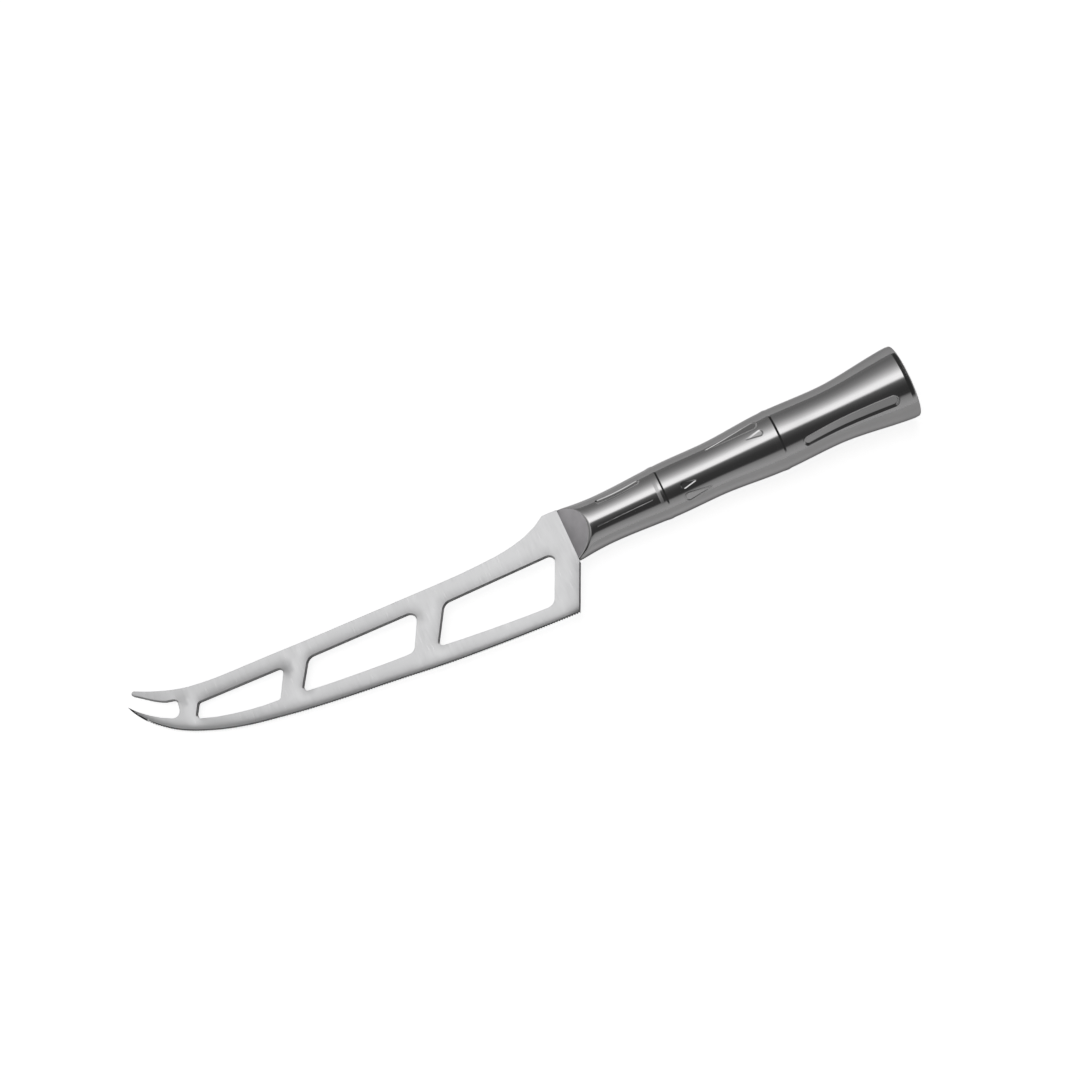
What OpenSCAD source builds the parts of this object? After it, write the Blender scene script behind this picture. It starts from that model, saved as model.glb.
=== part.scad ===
// Cheese knife with a forked tip, three windows in the blade and a hollow handle of two pressed shells.
// The origin is the centre of the butt's flat end, and +X points out of the butt along the handle's axis.
// +Y is the spine side and -Y the edge side, so the blade's flat faces look along +Z and -Z.

/* [Handle] */
// Length of the front section, from the mouth to the front ring
front_len = 30.9; // [28:0.1:40]
// Length of the middle section, from the front ring to the rear ring
middle_len = 37.5; // [28:0.1:50]
// Length of the rear section, from the rear ring to the butt
rear_len = 41.6; // [30:0.1:55]
// Diameter of the mouth, where the blade enters
mouth_d = 16.8; // [14.5:0.1:20]
// Diameter of the neck behind the mouth
neck_d = 15; // [12.5:0.05:17]
// Diameter of the swelling at the front ring
front_swell_d = 16.7; // [14:0.1:20]
// Diameter of the waist in the middle section
middle_waist_d = 16.45; // [13.5:0.05:19]
// Diameter of the swelling at the rear ring
rear_swell_d = 18.9; // [16:0.05:22]
// Diameter of the waist in the rear section
rear_waist_d = 18.1; // [15:0.05:21]
// Diameter of the butt, before its edge is rounded
butt_d = 22.9; // [19:0.1:27]
// Radius of the rounded edge round the butt
rim_r = 0.6; // [0.3:0.1:1]
// Slant of the two cheeks, measured from the blade's face
cheek_angle = 45; // [35:1:60]

/* [Shells] */
// Wall of the two pressed shells
shell_wall = 1; // [0.7:0.05:1.3]
// Width of the line pressed round the handle at each ring
ring_w = 0.6; // [0.3:0.05:1]
// Depth of the line pressed round the handle at each ring
ring_depth = 0.2; // [0.1:0.05:0.4]
// Depth of the pressed marks
mark_depth = 0.25; // [0.1:0.05:0.45]
// Width of the long mark in the front section
front_mark_w = 1.9; // [1.2:0.1:3]
// Width of the long mark in the rear section
rear_mark_w = 2.8; // [2:0.1:4.5]
// Width of the leaf marks in the middle section
leaf_mark_w = 2.2; // [1.4:0.1:3]

/* [Blade] */
// Length of the blade, from the heel corner to the tip
blade_len = 134.1; // [110:0.1:160]
// Distance from the shoulder to the heel corner, measured along the knife
heel_run = 6.3; // [4:0.1:10]
// Depth of the heel corner below the handle's axis
heel_drop = 22.8; // [20:0.1:28]
// Height of the upper prong's tip over the handle's axis
tip_rise = 12; // [10.5:0.1:14]
// Height of the flat crown over the mouth's own edge
crown_rise = 0.25; // [0:0.05:1]
// Depth of the heel wall's start below the mouth's own edge
choil_drop = 0.7; // [0.2:0.05:1.5]
// Thickness of the blade
blade_t = 1.8; // [1.2:0.1:2.5]
// Height of the spine rail over the windows
spine_rail = 5; // [4:0.1:6]
// Height of the edge rail under the windows
edge_rail = 5; // [4.2:0.1:6]
// Radius of the small corners of the windows
window_r = 1; // [0.6:0.1:1.4]
// Height of the bevel that is ground along the edge on the back
bevel_h = 2.6; // [1.5:0.1:3.2]
// Height of the small bevel along the edge on the photographed face
face_bevel_h = 0.8; // [0.4:0.1:1.4]
// Depth of the small bevel on the photographed face
face_bevel_drop = 0.35; // [0.1:0.05:0.6]
// Thickness that the two bevels leave at the edge
edge_t = 0.2; // [0.1:0.05:0.4]
// Distance from tooth to tooth along the edge
tooth_pitch = 0.82; // [0.7:0.01:2]
// Depth of the notches between the teeth
tooth_depth = 0.45; // [0.1:0.05:0.6]
// Radius of the fork's root beside the upper prong
root_top_r = 1.4; // [0.8:0.1:1.8]
// Radius of the fork's root beside the lower prong
root_low_r = 2.2; // [1:0.1:2.5]

/* [Inner pieces] */
// Length of the tang inside the neck insert
tang_len = 18; // [12:0.5:22]
// Height of the tang
tang_h = 9; // [6:0.5:11]
// How much thinner the tang is than the blade on each face, so that it slides into the neck insert
tang_relief = 0.1; // [0.05:0.05:0.2]
// Length of the neck insert
insert_len = 24; // [23:0.5:27]
// Thickness of the butt cap
cap_t = 2; // [1.5:0.1:3]
// Thickness of the disc that holds the filling
stopper_t = 3; // [2:0.5:5]
// Room left between the stopper and the butt cap
weld_room = 4; // [3:0.5:8]
// Gap between pieces that slide or are pressed together
fit = 0.05; // [0.02:0.01:0.1]
// Width of the weld on the seams and round the cap
weld_w = 0.7; // [0.4:0.1:1]
// Depth of the weld on the seams and round the cap
weld_depth = 0.5; // [0.3:0.05:0.6]

/* [Hidden] */
// How far a cut runs past the solid that it cuts
over = 2 * fit + rim_r;
// Pieces of one curve between two of its places, along the handle and along the blade
span_steps = 8;
curve_steps = 4;
// Sides of a rounded corner or end
arc_steps = 6;
// Facets of the round surfaces
round_fn = 96;

// Places along the knife, from the butt
ring_rear_x = -rear_len;
ring_front_x = ring_rear_x - middle_len;
mouth_x = ring_front_x - front_len;
heel_x = mouth_x - heel_run;
insert_end_x = mouth_x + insert_len;
stopper_x = -cap_t - weld_room;
tang_t = blade_t - 2 * tang_relief;
widest_r = max(mouth_d, front_swell_d, rear_swell_d, butt_d) / 2;

// Places of the neck, swellings and waists, as shares of the section that each lies in
neck_share = 0.61;
front_swell_share = 0.1;
middle_waist_share = 0.4;
rear_swell_share = 0.985;
rear_waist_share = 0.374;
// Steepness of the flare at the mouth and at the butt, as shares of the mean slope there
mouth_flare_share = 1.9;
butt_flare_share = 0.5;

// Handle's outline at its main places: along the handle, and radius
stations = [
    [mouth_x, mouth_d / 2],
    [ring_front_x - neck_share * front_len, neck_d / 2],
    [ring_front_x + front_swell_share * middle_len, front_swell_d / 2],
    [ring_front_x + middle_waist_share * middle_len, middle_waist_d / 2],
    [ring_front_x + rear_swell_share * middle_len, rear_swell_d / 2],
    [ring_rear_x + rear_waist_share * rear_len, rear_waist_d / 2],
    [-rim_r, butt_d / 2]
];
last_span = len(stations) - 2;

// Rise between two stations: 0 to 1, level at both ends unless a flare is asked for
function rise(t, flare_in, flare_out) =
    3 * t ^ 2 - 2 * t ^ 3 + flare_in * (t ^ 3 - 2 * t ^ 2 + t) + flare_out * (t ^ 3 - t ^ 2);

function span_point(i, t) = [
    stations[i].x + (stations[i + 1].x - stations[i].x) * t,
    stations[i].y + (stations[i + 1].y - stations[i].y)
        * rise(t, i == 0 ? mouth_flare_share : 0, i == last_span ? butt_flare_share : 0)
];

// Handle's whole outline, before its butt is rounded
outline = [
    for (i = [0:last_span])
        for (j = [0:span_steps - 1])
            span_point(i, j / span_steps),
    stations[last_span + 1]
];

function radius_at(x) = lookup(x, outline);

// Half outline of a turned piece from x0 to x1 that lies a given depth inside the handle's surface
function turned_outline(x0, x1, depth) = [
    [0, x0],
    [radius_at(x0) - depth, x0],
    for (p = outline) if (p.x > x0 && p.x < x1) [p.y - depth, p.x],
    [radius_at(x1) - depth, x1],
    [0, x1]
];

// Same, with the butt's edge rounded
function rounded_outline() = [
    [0, mouth_x],
    for (p = outline) if (p.x < -rim_r) [p.y, p.x],
    for (i = [0:arc_steps])
        let (a = 90 * i / arc_steps)
            [radius_at(-rim_r) + rim_r * (cos(a) - 1), rim_r * (sin(a) - 1)],
    [0, 0]
];

// Points of a curve that passes smoothly through the given places
function between(a, b, c, d, t) =
    0.5 * (2 * b + (c - a) * t + (2 * a - 5 * b + 4 * c - d) * t ^ 2 + (3 * b - a - 3 * c + d) * t ^ 3);

function smooth(p) = [
    for (i = [0:len(p) - 2])
        for (j = [0:curve_steps - 1])
            between(p[max(i - 1, 0)], p[i], p[i + 1], p[min(i + 2, len(p) - 1)], j / curve_steps),
    p[len(p) - 1]
];

// Distance of each point of a line from its start, measured along the line
function run_of(p) = [
    for (i = 0, s = 0; i < len(p); i = i + 1, s = i < len(p) ? s + norm(p[i] - p[i - 1]) : s) s
];

function unit(v) = v / norm(v);

function left_of(v) = [-v.y, v.x];

// Corner of an outline, rounded to radius r
function rounded_corner(before, corner, after, r) =
    let (
        u = unit(before - corner),
        v = unit(after - corner),
        half = acos(u * v) / 2,
        reach = min(r / tan(half), norm(before - corner) / 2, norm(after - corner) / 2),
        radius = reach * tan(half),
        centre = corner + unit(u + v) * radius / sin(half),
        start = corner + u * reach - centre,
        turn = (cross(u, v) > 0 ? -1 : 1) * (180 - 2 * half)
    )
    [
        for (i = [0:arc_steps])
            let (a = turn * i / arc_steps)
                centre + [start.x * cos(a) - start.y * sin(a), start.x * sin(a) + start.y * cos(a)]
    ];

// Blade's lower lines in shares: along the blade from the heel corner, and height as a share of heel_drop
edge_shares = [
    [0, -1], [0.073, -0.98], [0.192, -0.94], [0.312, -0.883], [0.431, -0.801], [0.55, -0.725],
    [0.64, -0.656], [0.7, -0.597], [0.76, -0.531], [0.818, -0.438], [0.865, -0.335],
    [0.895, -0.254], [0.917, -0.179], [0.932, -0.116], [0.947, -0.044], [0.962, 0.038],
    [0.977, 0.142], [0.991, 0.264], [1, 0.377]
];
prong_over_shares = [[0.939, 0.06], [0.954, 0.121], [0.969, 0.19], [0.984, 0.27]];
root_low_share = [0.898, -0.07];
// Blade's upper lines in shares: along the blade, and height as a share of tip_rise
spine_shares = [
    [0.013, 0.554], [0.043, 0.424], [0.073, 0.346], [0.103, 0.297], [0.133, 0.272], [0.192, 0.251],
    [0.252, 0.257], [0.312, 0.276], [0.431, 0.31], [0.55, 0.352], [0.669, 0.407], [0.788, 0.456],
    [0.848, 0.527], [0.88, 0.6], [0.91, 0.705], [0.94, 0.836], [0.971, 1]
];
prong_under_shares = [[0.979, 0.9], [0.961, 0.747], [0.946, 0.618], [0.931, 0.505], [0.917, 0.424]];
root_top_share = [0.892, 0.358];
// Crown between the throat and the mouth: along the heel's run, and height as a share of crown_rise
crown_shares = [[0.75, 1], [0.37, 0.9]];
// Share of the edge that has teeth, from the heel
toothed_share = 0.95;
// Share of the edge, at its tip, over which the bevel narrows, and what is left of it there
fade_share = 0.12;
tip_bevel_share = 0.2;

// Top edge and bottom edge corners of each window: along the blade, and distance from the spine or
// the edge in shares of its rail. They are listed tip side first.
window_top_shares = [
    [[0.85, 1.13], [0.646, 1]],
    [[0.588, 1.05], [0.325, 1]],
    [[0.265, 1.25], [-0.004, 1.99]]
];
window_low_shares = [
    [[0.869, 0.77], [0.681, 1.05]],
    [[0.63, 1.11], [0.369, 1.3]],
    [[0.315, 1.16], [0.045, 1]]
];
// Radius of each window's corners, top tip side, top heel side, low heel side and low tip side, as
// shares of window_r, and the outward bow of its bottom edge as a share of edge_rail
window_r_shares = [[1, 1.2, 1.2, 1.2], [3, 2, 2.7, 1.2], [3, 1.7, 3, 1.1]];
window_bow_shares = [0.16, 0.05, 0.05];
// Share of a window's bottom edge, at each end, that its corners take
corner_share = 0.1;

function place(share, height) = [heel_x - share.x * blade_len, share.y * height];

function places(shares, height) = [for (s = shares) place(s, height)];

function reversed(p) = [for (i = [len(p) - 1:-1:0]) p[i]];

edge_line = smooth(places(edge_shares, heel_drop));
spine_line = smooth(places(spine_shares, tip_rise));
prong_over = places(prong_over_shares, heel_drop);
prong_under = places(prong_under_shares, tip_rise);
root_low = place(root_low_share, heel_drop);
root_top = place(root_top_share, tip_rise);
edge_run = run_of(edge_line);
edge_len = edge_run[len(edge_run) - 1];
edge_xs = [for (i = [0:len(edge_run) - 1]) [edge_run[i], edge_line[i].x]];
edge_ys = [for (i = [0:len(edge_run) - 1]) [edge_run[i], edge_line[i].y]];

// Point of the edge at a distance along it from the heel, and the way into the blade there
function edge_at(s) = [lookup(s, edge_xs), lookup(s, edge_ys)];

function inward_at(s) =
    let (e = edge_len / len(edge_run))
        -left_of(unit(edge_at(min(s + e, edge_len)) - edge_at(max(s - e, 0))));

// Height of the spine and of the edge over the axis at a place along the knife
function height_of(line, x) = lookup(x, reversed(line));

teeth = floor(toothed_share * edge_len / tooth_pitch);

function toothed_edge() = [
    for (i = [0:teeth - 1])
        for (notch = [0, 1])
            let (s = (i + notch / 2) * tooth_pitch)
                edge_at(s) + notch * tooth_depth * inward_at(s),
    for (i = [0:len(edge_run) - 1]) if (edge_run[i] > teeth * tooth_pitch) edge_line[i]
];

// Round tip of the upper prong, from its underside over to the spine
function prong_tip() =
    let (
        low = prong_under[0],
        high = spine_line[len(spine_line) - 1],
        middle = (low + high) / 2,
        out = left_of(high - low) / 2
    )
    [
        for (i = [1:arc_steps - 1])
            let (a = 180 * i / arc_steps)
                middle + (low - middle) * cos(a) + out * sin(a)
    ];

function crown() = [
    for (c = crown_shares)
        [mouth_x - c.x * heel_run, mouth_d / 2 + c.y * crown_rise]
];

function blade_outline() = concat(
    toothed_edge(),
    smooth(concat([edge_line[len(edge_line) - 1]], reversed(prong_over))),
    rounded_corner(prong_over[0], root_low, root_top, root_low_r),
    rounded_corner(root_low, root_top, prong_under[len(prong_under) - 1], root_top_r),
    smooth(reversed(prong_under)),
    prong_tip(),
    reversed(spine_line),
    crown(),
    [[mouth_x, mouth_d / 2], [mouth_x, -mouth_d / 2 - choil_drop]]
);

function window_outline(i) =
    let (
        top = [
            for (c = window_top_shares[i])
                let (x = heel_x - c.x * blade_len)
                    [x, height_of(spine_line, min(x, spine_line[0].x)) - c.y * spine_rail]
        ],
        low = [
            for (c = window_low_shares[i])
                let (x = heel_x - c.x * blade_len)
                    [x, height_of(edge_line, x) + c.y * edge_rail]
        ],
        r = window_r_shares[i] * window_r,
        bow = window_bow_shares[i] * edge_rail,
        down = -unit(left_of(low[1] - low[0]))
    )
    concat(
        rounded_corner(low[0], top[0], top[1], r[0]),
        rounded_corner(top[0], top[1], low[1], r[1]),
        rounded_corner(top[1], low[1], low[0], r[2]),
        [
            for (j = [1:arc_steps])
                let (s = corner_share + (1 - 2 * corner_share) * j / (arc_steps + 1))
                    low[1] + (low[0] - low[1]) * s + down * bow * 4 * s * (1 - s)
        ],
        rounded_corner(low[1], low[0], top[0], r[3])
    );

// Wedge that grinds a bevel on the face side: a strip of four-sided sections along the edge
grind_steps = 40;

function grind_section(i, height, drop) =
    let (
        s = edge_len * i / grind_steps,
        out = i == 0 ? -over : i == grind_steps ? over : 0,
        e = edge_at(s),
        n = inward_at(s),
        along = left_of(n) * out,
        left = tip_bevel_share + (1 - tip_bevel_share) * min(1, (1 - i / grind_steps) / fade_share),
        h = height * left,
        a = e + n * h + along,
        b = e - n * over + along
    )
    [
        [a.x, a.y, blade_t / 2],
        [b.x, b.y, blade_t / 2 - drop * (h + over) / h],
        [b.x, b.y, blade_t / 2 + over],
        [a.x, a.y, blade_t / 2 + over]
    ];

module grind(height, drop) {
    polyhedron(
        points = [for (i = [0:grind_steps]) each grind_section(i, height, drop)],
        faces = [
            [0, 1, 2],
            [0, 2, 3],
            for (i = [0:grind_steps - 1])
                for (k = [0:3])
                    let (a = 4 * i + k, b = 4 * i + (k + 1) % 4)
                        each [[a, a + 4, b], [b, a + 4, b + 4]],
            [4 * grind_steps, 4 * grind_steps + 2, 4 * grind_steps + 1],
            [4 * grind_steps, 4 * grind_steps + 3, 4 * grind_steps + 2]
        ]
    );
}

module blade() {
    color("lightgray") {
        difference() {
            linear_extrude(height = blade_t, center = true)
                difference() {
                    polygon(blade_outline());
                    for (i = [0:len(window_top_shares) - 1])
                        polygon(window_outline(i));
                }
            grind(face_bevel_h, face_bevel_drop);
            mirror([0, 0, 1])
                grind(bevel_h, blade_t - edge_t - face_bevel_drop);
        }
        translate([mouth_x - over, -tang_h / 2, -tang_t / 2])
            cube([tang_len + over, tang_h, tang_t]);
    }
}

// Solid turned round the handle's axis from points of radius and place along it
module turned(points, sweep = 360, start = 0) {
    rotate([0, 90, 0])
        rotate([0, 0, start])
            rotate_extrude(angle = sweep, $fn = round_fn)
                polygon(points);
}

// Wedge that cuts the slanted cheek on the face side
module cheek_cut() {
    run = widest_r / tan(cheek_angle);
    lead = over / tan(cheek_angle);
    rotate([90, 0, 0])
        linear_extrude(height = 2 * (widest_r + over), center = true)
            polygon([
                [mouth_x - lead, blade_t / 2 - over],
                [mouth_x + run, blade_t / 2 + widest_r],
                [mouth_x - lead, blade_t / 2 + widest_r]
            ]);
}

// Line pressed round the handle at x
module ring_line(x) {
    r = radius_at(x);
    turned([
        [r - ring_depth, x],
        [r + over, x + ring_w / 2 * (1 + over / ring_depth)],
        [r + over, x - ring_w / 2 * (1 + over / ring_depth)]
    ]);
}

// Layer under the handle's surface, a given depth thick, from x0 to x1
module surface_layer(x0, x1, depth) {
    difference() {
        turned(turned_outline(x0, x1, -over));
        turned(turned_outline(x0 - fit, x1 + fit, depth));
    }
}

// Outline of a mark with one end of radius ra at x = 0 and one of radius rb at x = len
function mark_outline(len, ra, rb) =
    let (a = acos((ra - rb) / (len - ra - rb)))
    [
        for (i = [0:arc_steps])
            let (t = a + (360 - 2 * a) * i / arc_steps)
                [ra + ra * cos(t), ra * sin(t)],
        for (i = [0:arc_steps])
            let (t = -a + 2 * a * i / arc_steps)
                [len - rb + rb * cos(t), rb * sin(t)]
    ];

// Marks of one shell: place along their section and length in shares of it, height over the axis in
// shares of the radius there, width, and the width of each end as a share of that width
front_marks = [
    [mouth_x, front_len, 0.375, 0.453, 0.53, front_mark_w, 1, 1]
];
middle_marks = [
    [ring_front_x, middle_len, 0.131, 0.136, -0.31, leaf_mark_w, 1, 0.35],
    [ring_front_x, middle_len, 0.136, 0.221, -0.71, 0.8 * leaf_mark_w, 1, 0.15],
    [ring_front_x, middle_len, 0.427, 0.459, 0.55, 1.1 * leaf_mark_w, 0.15, 1],
    [ring_front_x, middle_len, 0.747, 0.149, 0.21, leaf_mark_w, 0.2, 1]
];
rear_marks = [
    [ring_rear_x, rear_len, 0.139, 0.733, -0.61, rear_mark_w, 0.85, 1]
];

module mark(m) {
    x = m[0] + m[1] * m[2];
    long = m[1] * m[3];
    y = m[4] * radius_at(x + long / 2);
    translate([x, y, 0])
        linear_extrude(height = widest_r + over)
            polygon(mark_outline(long, m[5] * m[6] / 2, m[5] * m[7] / 2));
}

module marks() {
    intersection() {
        surface_layer(mouth_x, 0, mark_depth);
        union()
            for (m = concat(front_marks, middle_marks, rear_marks))
                mark(m);
    }
}

// Weld metal along one seam of the handle, before it is dressed flush
module seam(side) {
    from = mouth_x + weld_depth;
    to = -rim_r - 2 * weld_w;
    intersection() {
        surface_layer(from, to, weld_depth);
        translate([from, side > 0 ? 0 : -widest_r - over, -weld_w / 2])
            cube([to - from, widest_r + over, weld_w]);
    }
}

// Weld metal round the butt cap, before it is dressed flush
module cap_ring() {
    r = radius_at(0) - shell_wall;
    turned([[r - weld_w / 2, 0], [r + weld_w / 2, 0], [r, -weld_depth]]);
}

module shell() {
    difference() {
        turned(rounded_outline(), sweep = 180, start = 90);
        turned(turned_outline(mouth_x - over, over, shell_wall));
        cheek_cut();
        ring_line(ring_front_x);
        ring_line(ring_rear_x);
        marks();
        seam(1);
        seam(-1);
        cap_ring();
    }
}

module handle_shell_face() {
    color("silver")
        shell();
}

module handle_shell_back() {
    color("silver")
        rotate([180, 0, 0])
            shell();
}

module seam_weld(side) {
    intersection() {
        difference() {
            seam(side);
            ring_line(ring_front_x);
            ring_line(ring_rear_x);
        }
        turned(rounded_outline());
    }
}

module seam_weld_spine() {
    color("silver")
        seam_weld(1);
}

module seam_weld_edge() {
    color("silver")
        seam_weld(-1);
}

module neck_insert() {
    color("gray")
        difference() {
            turned(turned_outline(mouth_x, insert_end_x, shell_wall + fit));
            translate([mouth_x - over, -tang_h / 2 - fit, -tang_t / 2 - fit])
                cube([tang_len + over + fit, tang_h + 2 * fit, tang_t + 2 * fit]);
            cheek_cut();
            mirror([0, 0, 1])
                cheek_cut();
        }
}

module butt_cap() {
    color("silver")
        difference() {
            turned(turned_outline(-cap_t, 0, shell_wall + fit));
            cap_ring();
        }
}

module cap_weld() {
    color("silver")
        intersection() {
            cap_ring();
            turned(rounded_outline());
        }
}

module ballast() {
    color("tan")
        turned(turned_outline(insert_end_x + fit, stopper_x - stopper_t - fit, shell_wall + fit));
}

module ballast_stopper() {
    color("dimgray")
        turned(turned_outline(stopper_x - stopper_t, stopper_x, shell_wall + fit));
}

blade();
neck_insert();
handle_shell_face();
handle_shell_back();
seam_weld_spine();
seam_weld_edge();
butt_cap();
cap_weld();
ballast();
ballast_stopper();
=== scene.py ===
"""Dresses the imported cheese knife.

It makes the ground blade, the polished handle shells and the welds between them, gives every piece
its finish, and sets up a plain studio.
"""

import math

import bmesh
import bpy
import numpy as np
from bpy.props import FloatProperty, FloatVectorProperty, IntProperty, PointerProperty
from bpy.types import Operator, Panel, PropertyGroup
from mathutils import Matrix, Vector
from mathutils.geometry import delaunay_2d_cdt


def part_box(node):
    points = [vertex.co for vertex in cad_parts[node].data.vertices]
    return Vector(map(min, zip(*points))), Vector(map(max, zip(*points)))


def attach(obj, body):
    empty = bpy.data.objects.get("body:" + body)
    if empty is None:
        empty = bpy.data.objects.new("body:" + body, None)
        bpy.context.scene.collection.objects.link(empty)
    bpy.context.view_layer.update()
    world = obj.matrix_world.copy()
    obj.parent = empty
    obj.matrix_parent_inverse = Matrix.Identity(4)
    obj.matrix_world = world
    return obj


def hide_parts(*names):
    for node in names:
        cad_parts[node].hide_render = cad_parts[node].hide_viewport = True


bl_info = {
    "name": "Cheese Knife Dressing",
    "version": (1, 0, 0),
    "blender": (4, 5, 0),
    "location": "3D Viewport > Sidebar > Cheese Knife",
    "description": "Gives the cheese knife its ground blade, polished shells, finishes and studio",
    "category": "Object",
}

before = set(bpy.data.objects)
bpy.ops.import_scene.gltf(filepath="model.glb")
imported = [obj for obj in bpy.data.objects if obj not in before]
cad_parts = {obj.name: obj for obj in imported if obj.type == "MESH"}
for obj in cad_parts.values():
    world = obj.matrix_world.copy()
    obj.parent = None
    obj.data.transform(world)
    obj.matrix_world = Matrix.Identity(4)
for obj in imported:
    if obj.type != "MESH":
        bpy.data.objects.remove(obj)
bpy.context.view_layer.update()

MM = 0.001

# All lengths in this section are in millimetres, and places lie along the handle's axis from the butt
MOUTH_X = -110.0
# Handle's outline from the mouth to the butt: place and radius
HANDLE_STATIONS = (
    (MOUTH_X, 8.4),
    (-97.949, 7.5),
    (-75.35, 8.35),
    (-64.1, 8.225),
    (-42.1625, 9.45),
    (-26.0416, 9.05),
    (-0.6, 11.45),
)
# How much the outline flares at the mouth and at the butt, where 0 leaves it level
MOUTH_FLARE = 1.9
BUTT_FLARE = 0.5
MEAN_RADIUS = 9.0
# Share of the roll before the butt's rim over which the face bends into it
ROLL_BEND = 0.2
RING_XS = (-79.1, -41.6)
# Low flat bead beside each ring: place from the ring, and share of the bead's height
RING_BEAD = (
    (-2.4, 0),
    (-2.2, 0.08),
    (-1.2, 0.92),
    (-1.0, 1),
    (-0.42, 1),
    (-0.32, 0.9),
    (0.12, 0.1),
    (0.22, 0),
)
# Middle of the fine line beside the bead, from the ring, and half its width
RING_LINE = (0.3, 0.25)
# Pressed marks: start and length along the axis, angle of the centre line at the start, middle and
# end in degrees from the photographed side towards the spine, width of each end, depth at the foot
# of the walls, slope of the upper and of the lower wall, and height of the lip pushed up round it
MARKS = (
    (-98.8, 14.4, (34.8, 31.7, 35.2), 1.95, 1.95, 0.2, 0.62, 0.2, 0.015),
    (-101.4, 18.2, (-21.0, -19.2, -18.2), 0.45, 0.4, 0.05, 0.3, 0.32, 0.0),
    (-74.2, 5.1, (-17.9, -17.9, -17.9), 2.2, 0.7, 0.13, 0.35, 0.5, 0.0),
    (-74.0, 8.3, (-45.5, -45.5, -45.5), 2.4, 0.3, 0.13, 1.1, 1.1, 0.028),
    (-63.1, 17.2, (33.5, 33.5, 33.5), 0.4, 3.1, 0.14, 0.75, 0.4, 0.0),
    (-51.0, 5.6, (11.8, 11.8, 11.8), 0.4, 2.17, 0.13, 0.4, 0.4, 0.0),
    (-35.8, 30.5, (-41.0, -36.3, -35.3), 3.0, 3.7, 0.14, 0.9, 0.3, 0.02),
)
# Rounding at the top and at the foot of a mark's walls
MARK_TOP_ROUNDING = 0.06
MARK_FOOT_ROUNDING = 0.05
# Middle of the lip, from the mark's outline, and half its width
MARK_LIP = (0.14, 0.2)
# Least width over which a mark's wall changes from the lower slope to the upper one
MARK_LEAST_WIDTH = 0.3

# From here to the butt the rows of a shell are square to the axis; before it they follow the cheek
NECK_END = -96.0
# Steps from row to row: where the handle is plain, beside a ring (start and end from the ring, and
# step), and near the butt and the mouth (start, end and step)
PLAIN_STEP = 0.55
RING_STEPS = ((-2.6, -0.9, 0.16), (-0.9, 0.5, 0.06))
END_STEPS = ((-3.0, 0.0, 0.2), (MOUTH_X, NECK_END, 0.3))
# A mark shorter than this has fine rows all along, and a longer one only at its two ends
SHORT_MARK = 10
SHORT_MARK_STEP = 0.14
MARK_END_STEP = 0.12
MARK_END_REACH = 1.7
MARK_MARGIN = 0.3
# Rows of the inner wall of a shell are this many times as coarse as those of its outer face
COARSE = 4
LIP_ROWS = 11
RIM_ROWS = 6
# How closely the lip's rows crowd towards the cheek
LIP_CROWDING = 1.6
# Place where the inner wall of a shell ends in front of the butt
HOLLOW_END = -0.45

# Half the blade's thickness
BLADE_HALF = 0.9
# Height over the middle plane at which the CAD blade's cutting edge lies
EDGE_Z = 0.45
# Points of an outline that are closer than this are one point
DOUBLED_GAP = 0.01
# Sine of the turn under which a point lies on a straight line, and from which a corner of the
# cutting edge is the foot of a notch
STRAIGHT_TURN = 0.003
NOTCH_TURN = 0.2
# Feet of the notches lie between these heights over the cutting edge
NOTCH_HEIGHTS = (0.05, 0.8)
# How far the painted shade of the teeth runs past the foot of the notches
TOOTH_MARGIN = 0.08
# Depth of the edge break and of the low edge break, as shares of their widths
BREAK_DEPTHS = (0.3, 0.5)
# Length by the tip over which the rounding of the faces fades, and the least share that it keeps
FORK_FADE = (16, 0.3)
# Length by the tip over which the roll and the grind shrink, and the share that is left at the tip
TIP_FADE = (22, 0.35)
# Distances from the outlines at which the blade's faces have rows of points
ROW_GAPS = (0.1, 0.24, 0.45, 0.8, 1.3, 1.9, 2.6, 3.4)
# Spacing of the points on the outlines, and of the loose grid and its distance from the outlines
OUTLINE_STEP = 1.1
GRID_STEP = 2.2
GRID_MARGIN = 3.9
# Tang's length, half height and half thickness, and how far it runs into the blade
TANG = (18, 4.5, 0.8)
TANG_OVERLAP = 0.6

# Levels between which most of a noise lies
NOISE_ENDS = (0.3, 0.7)


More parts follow.
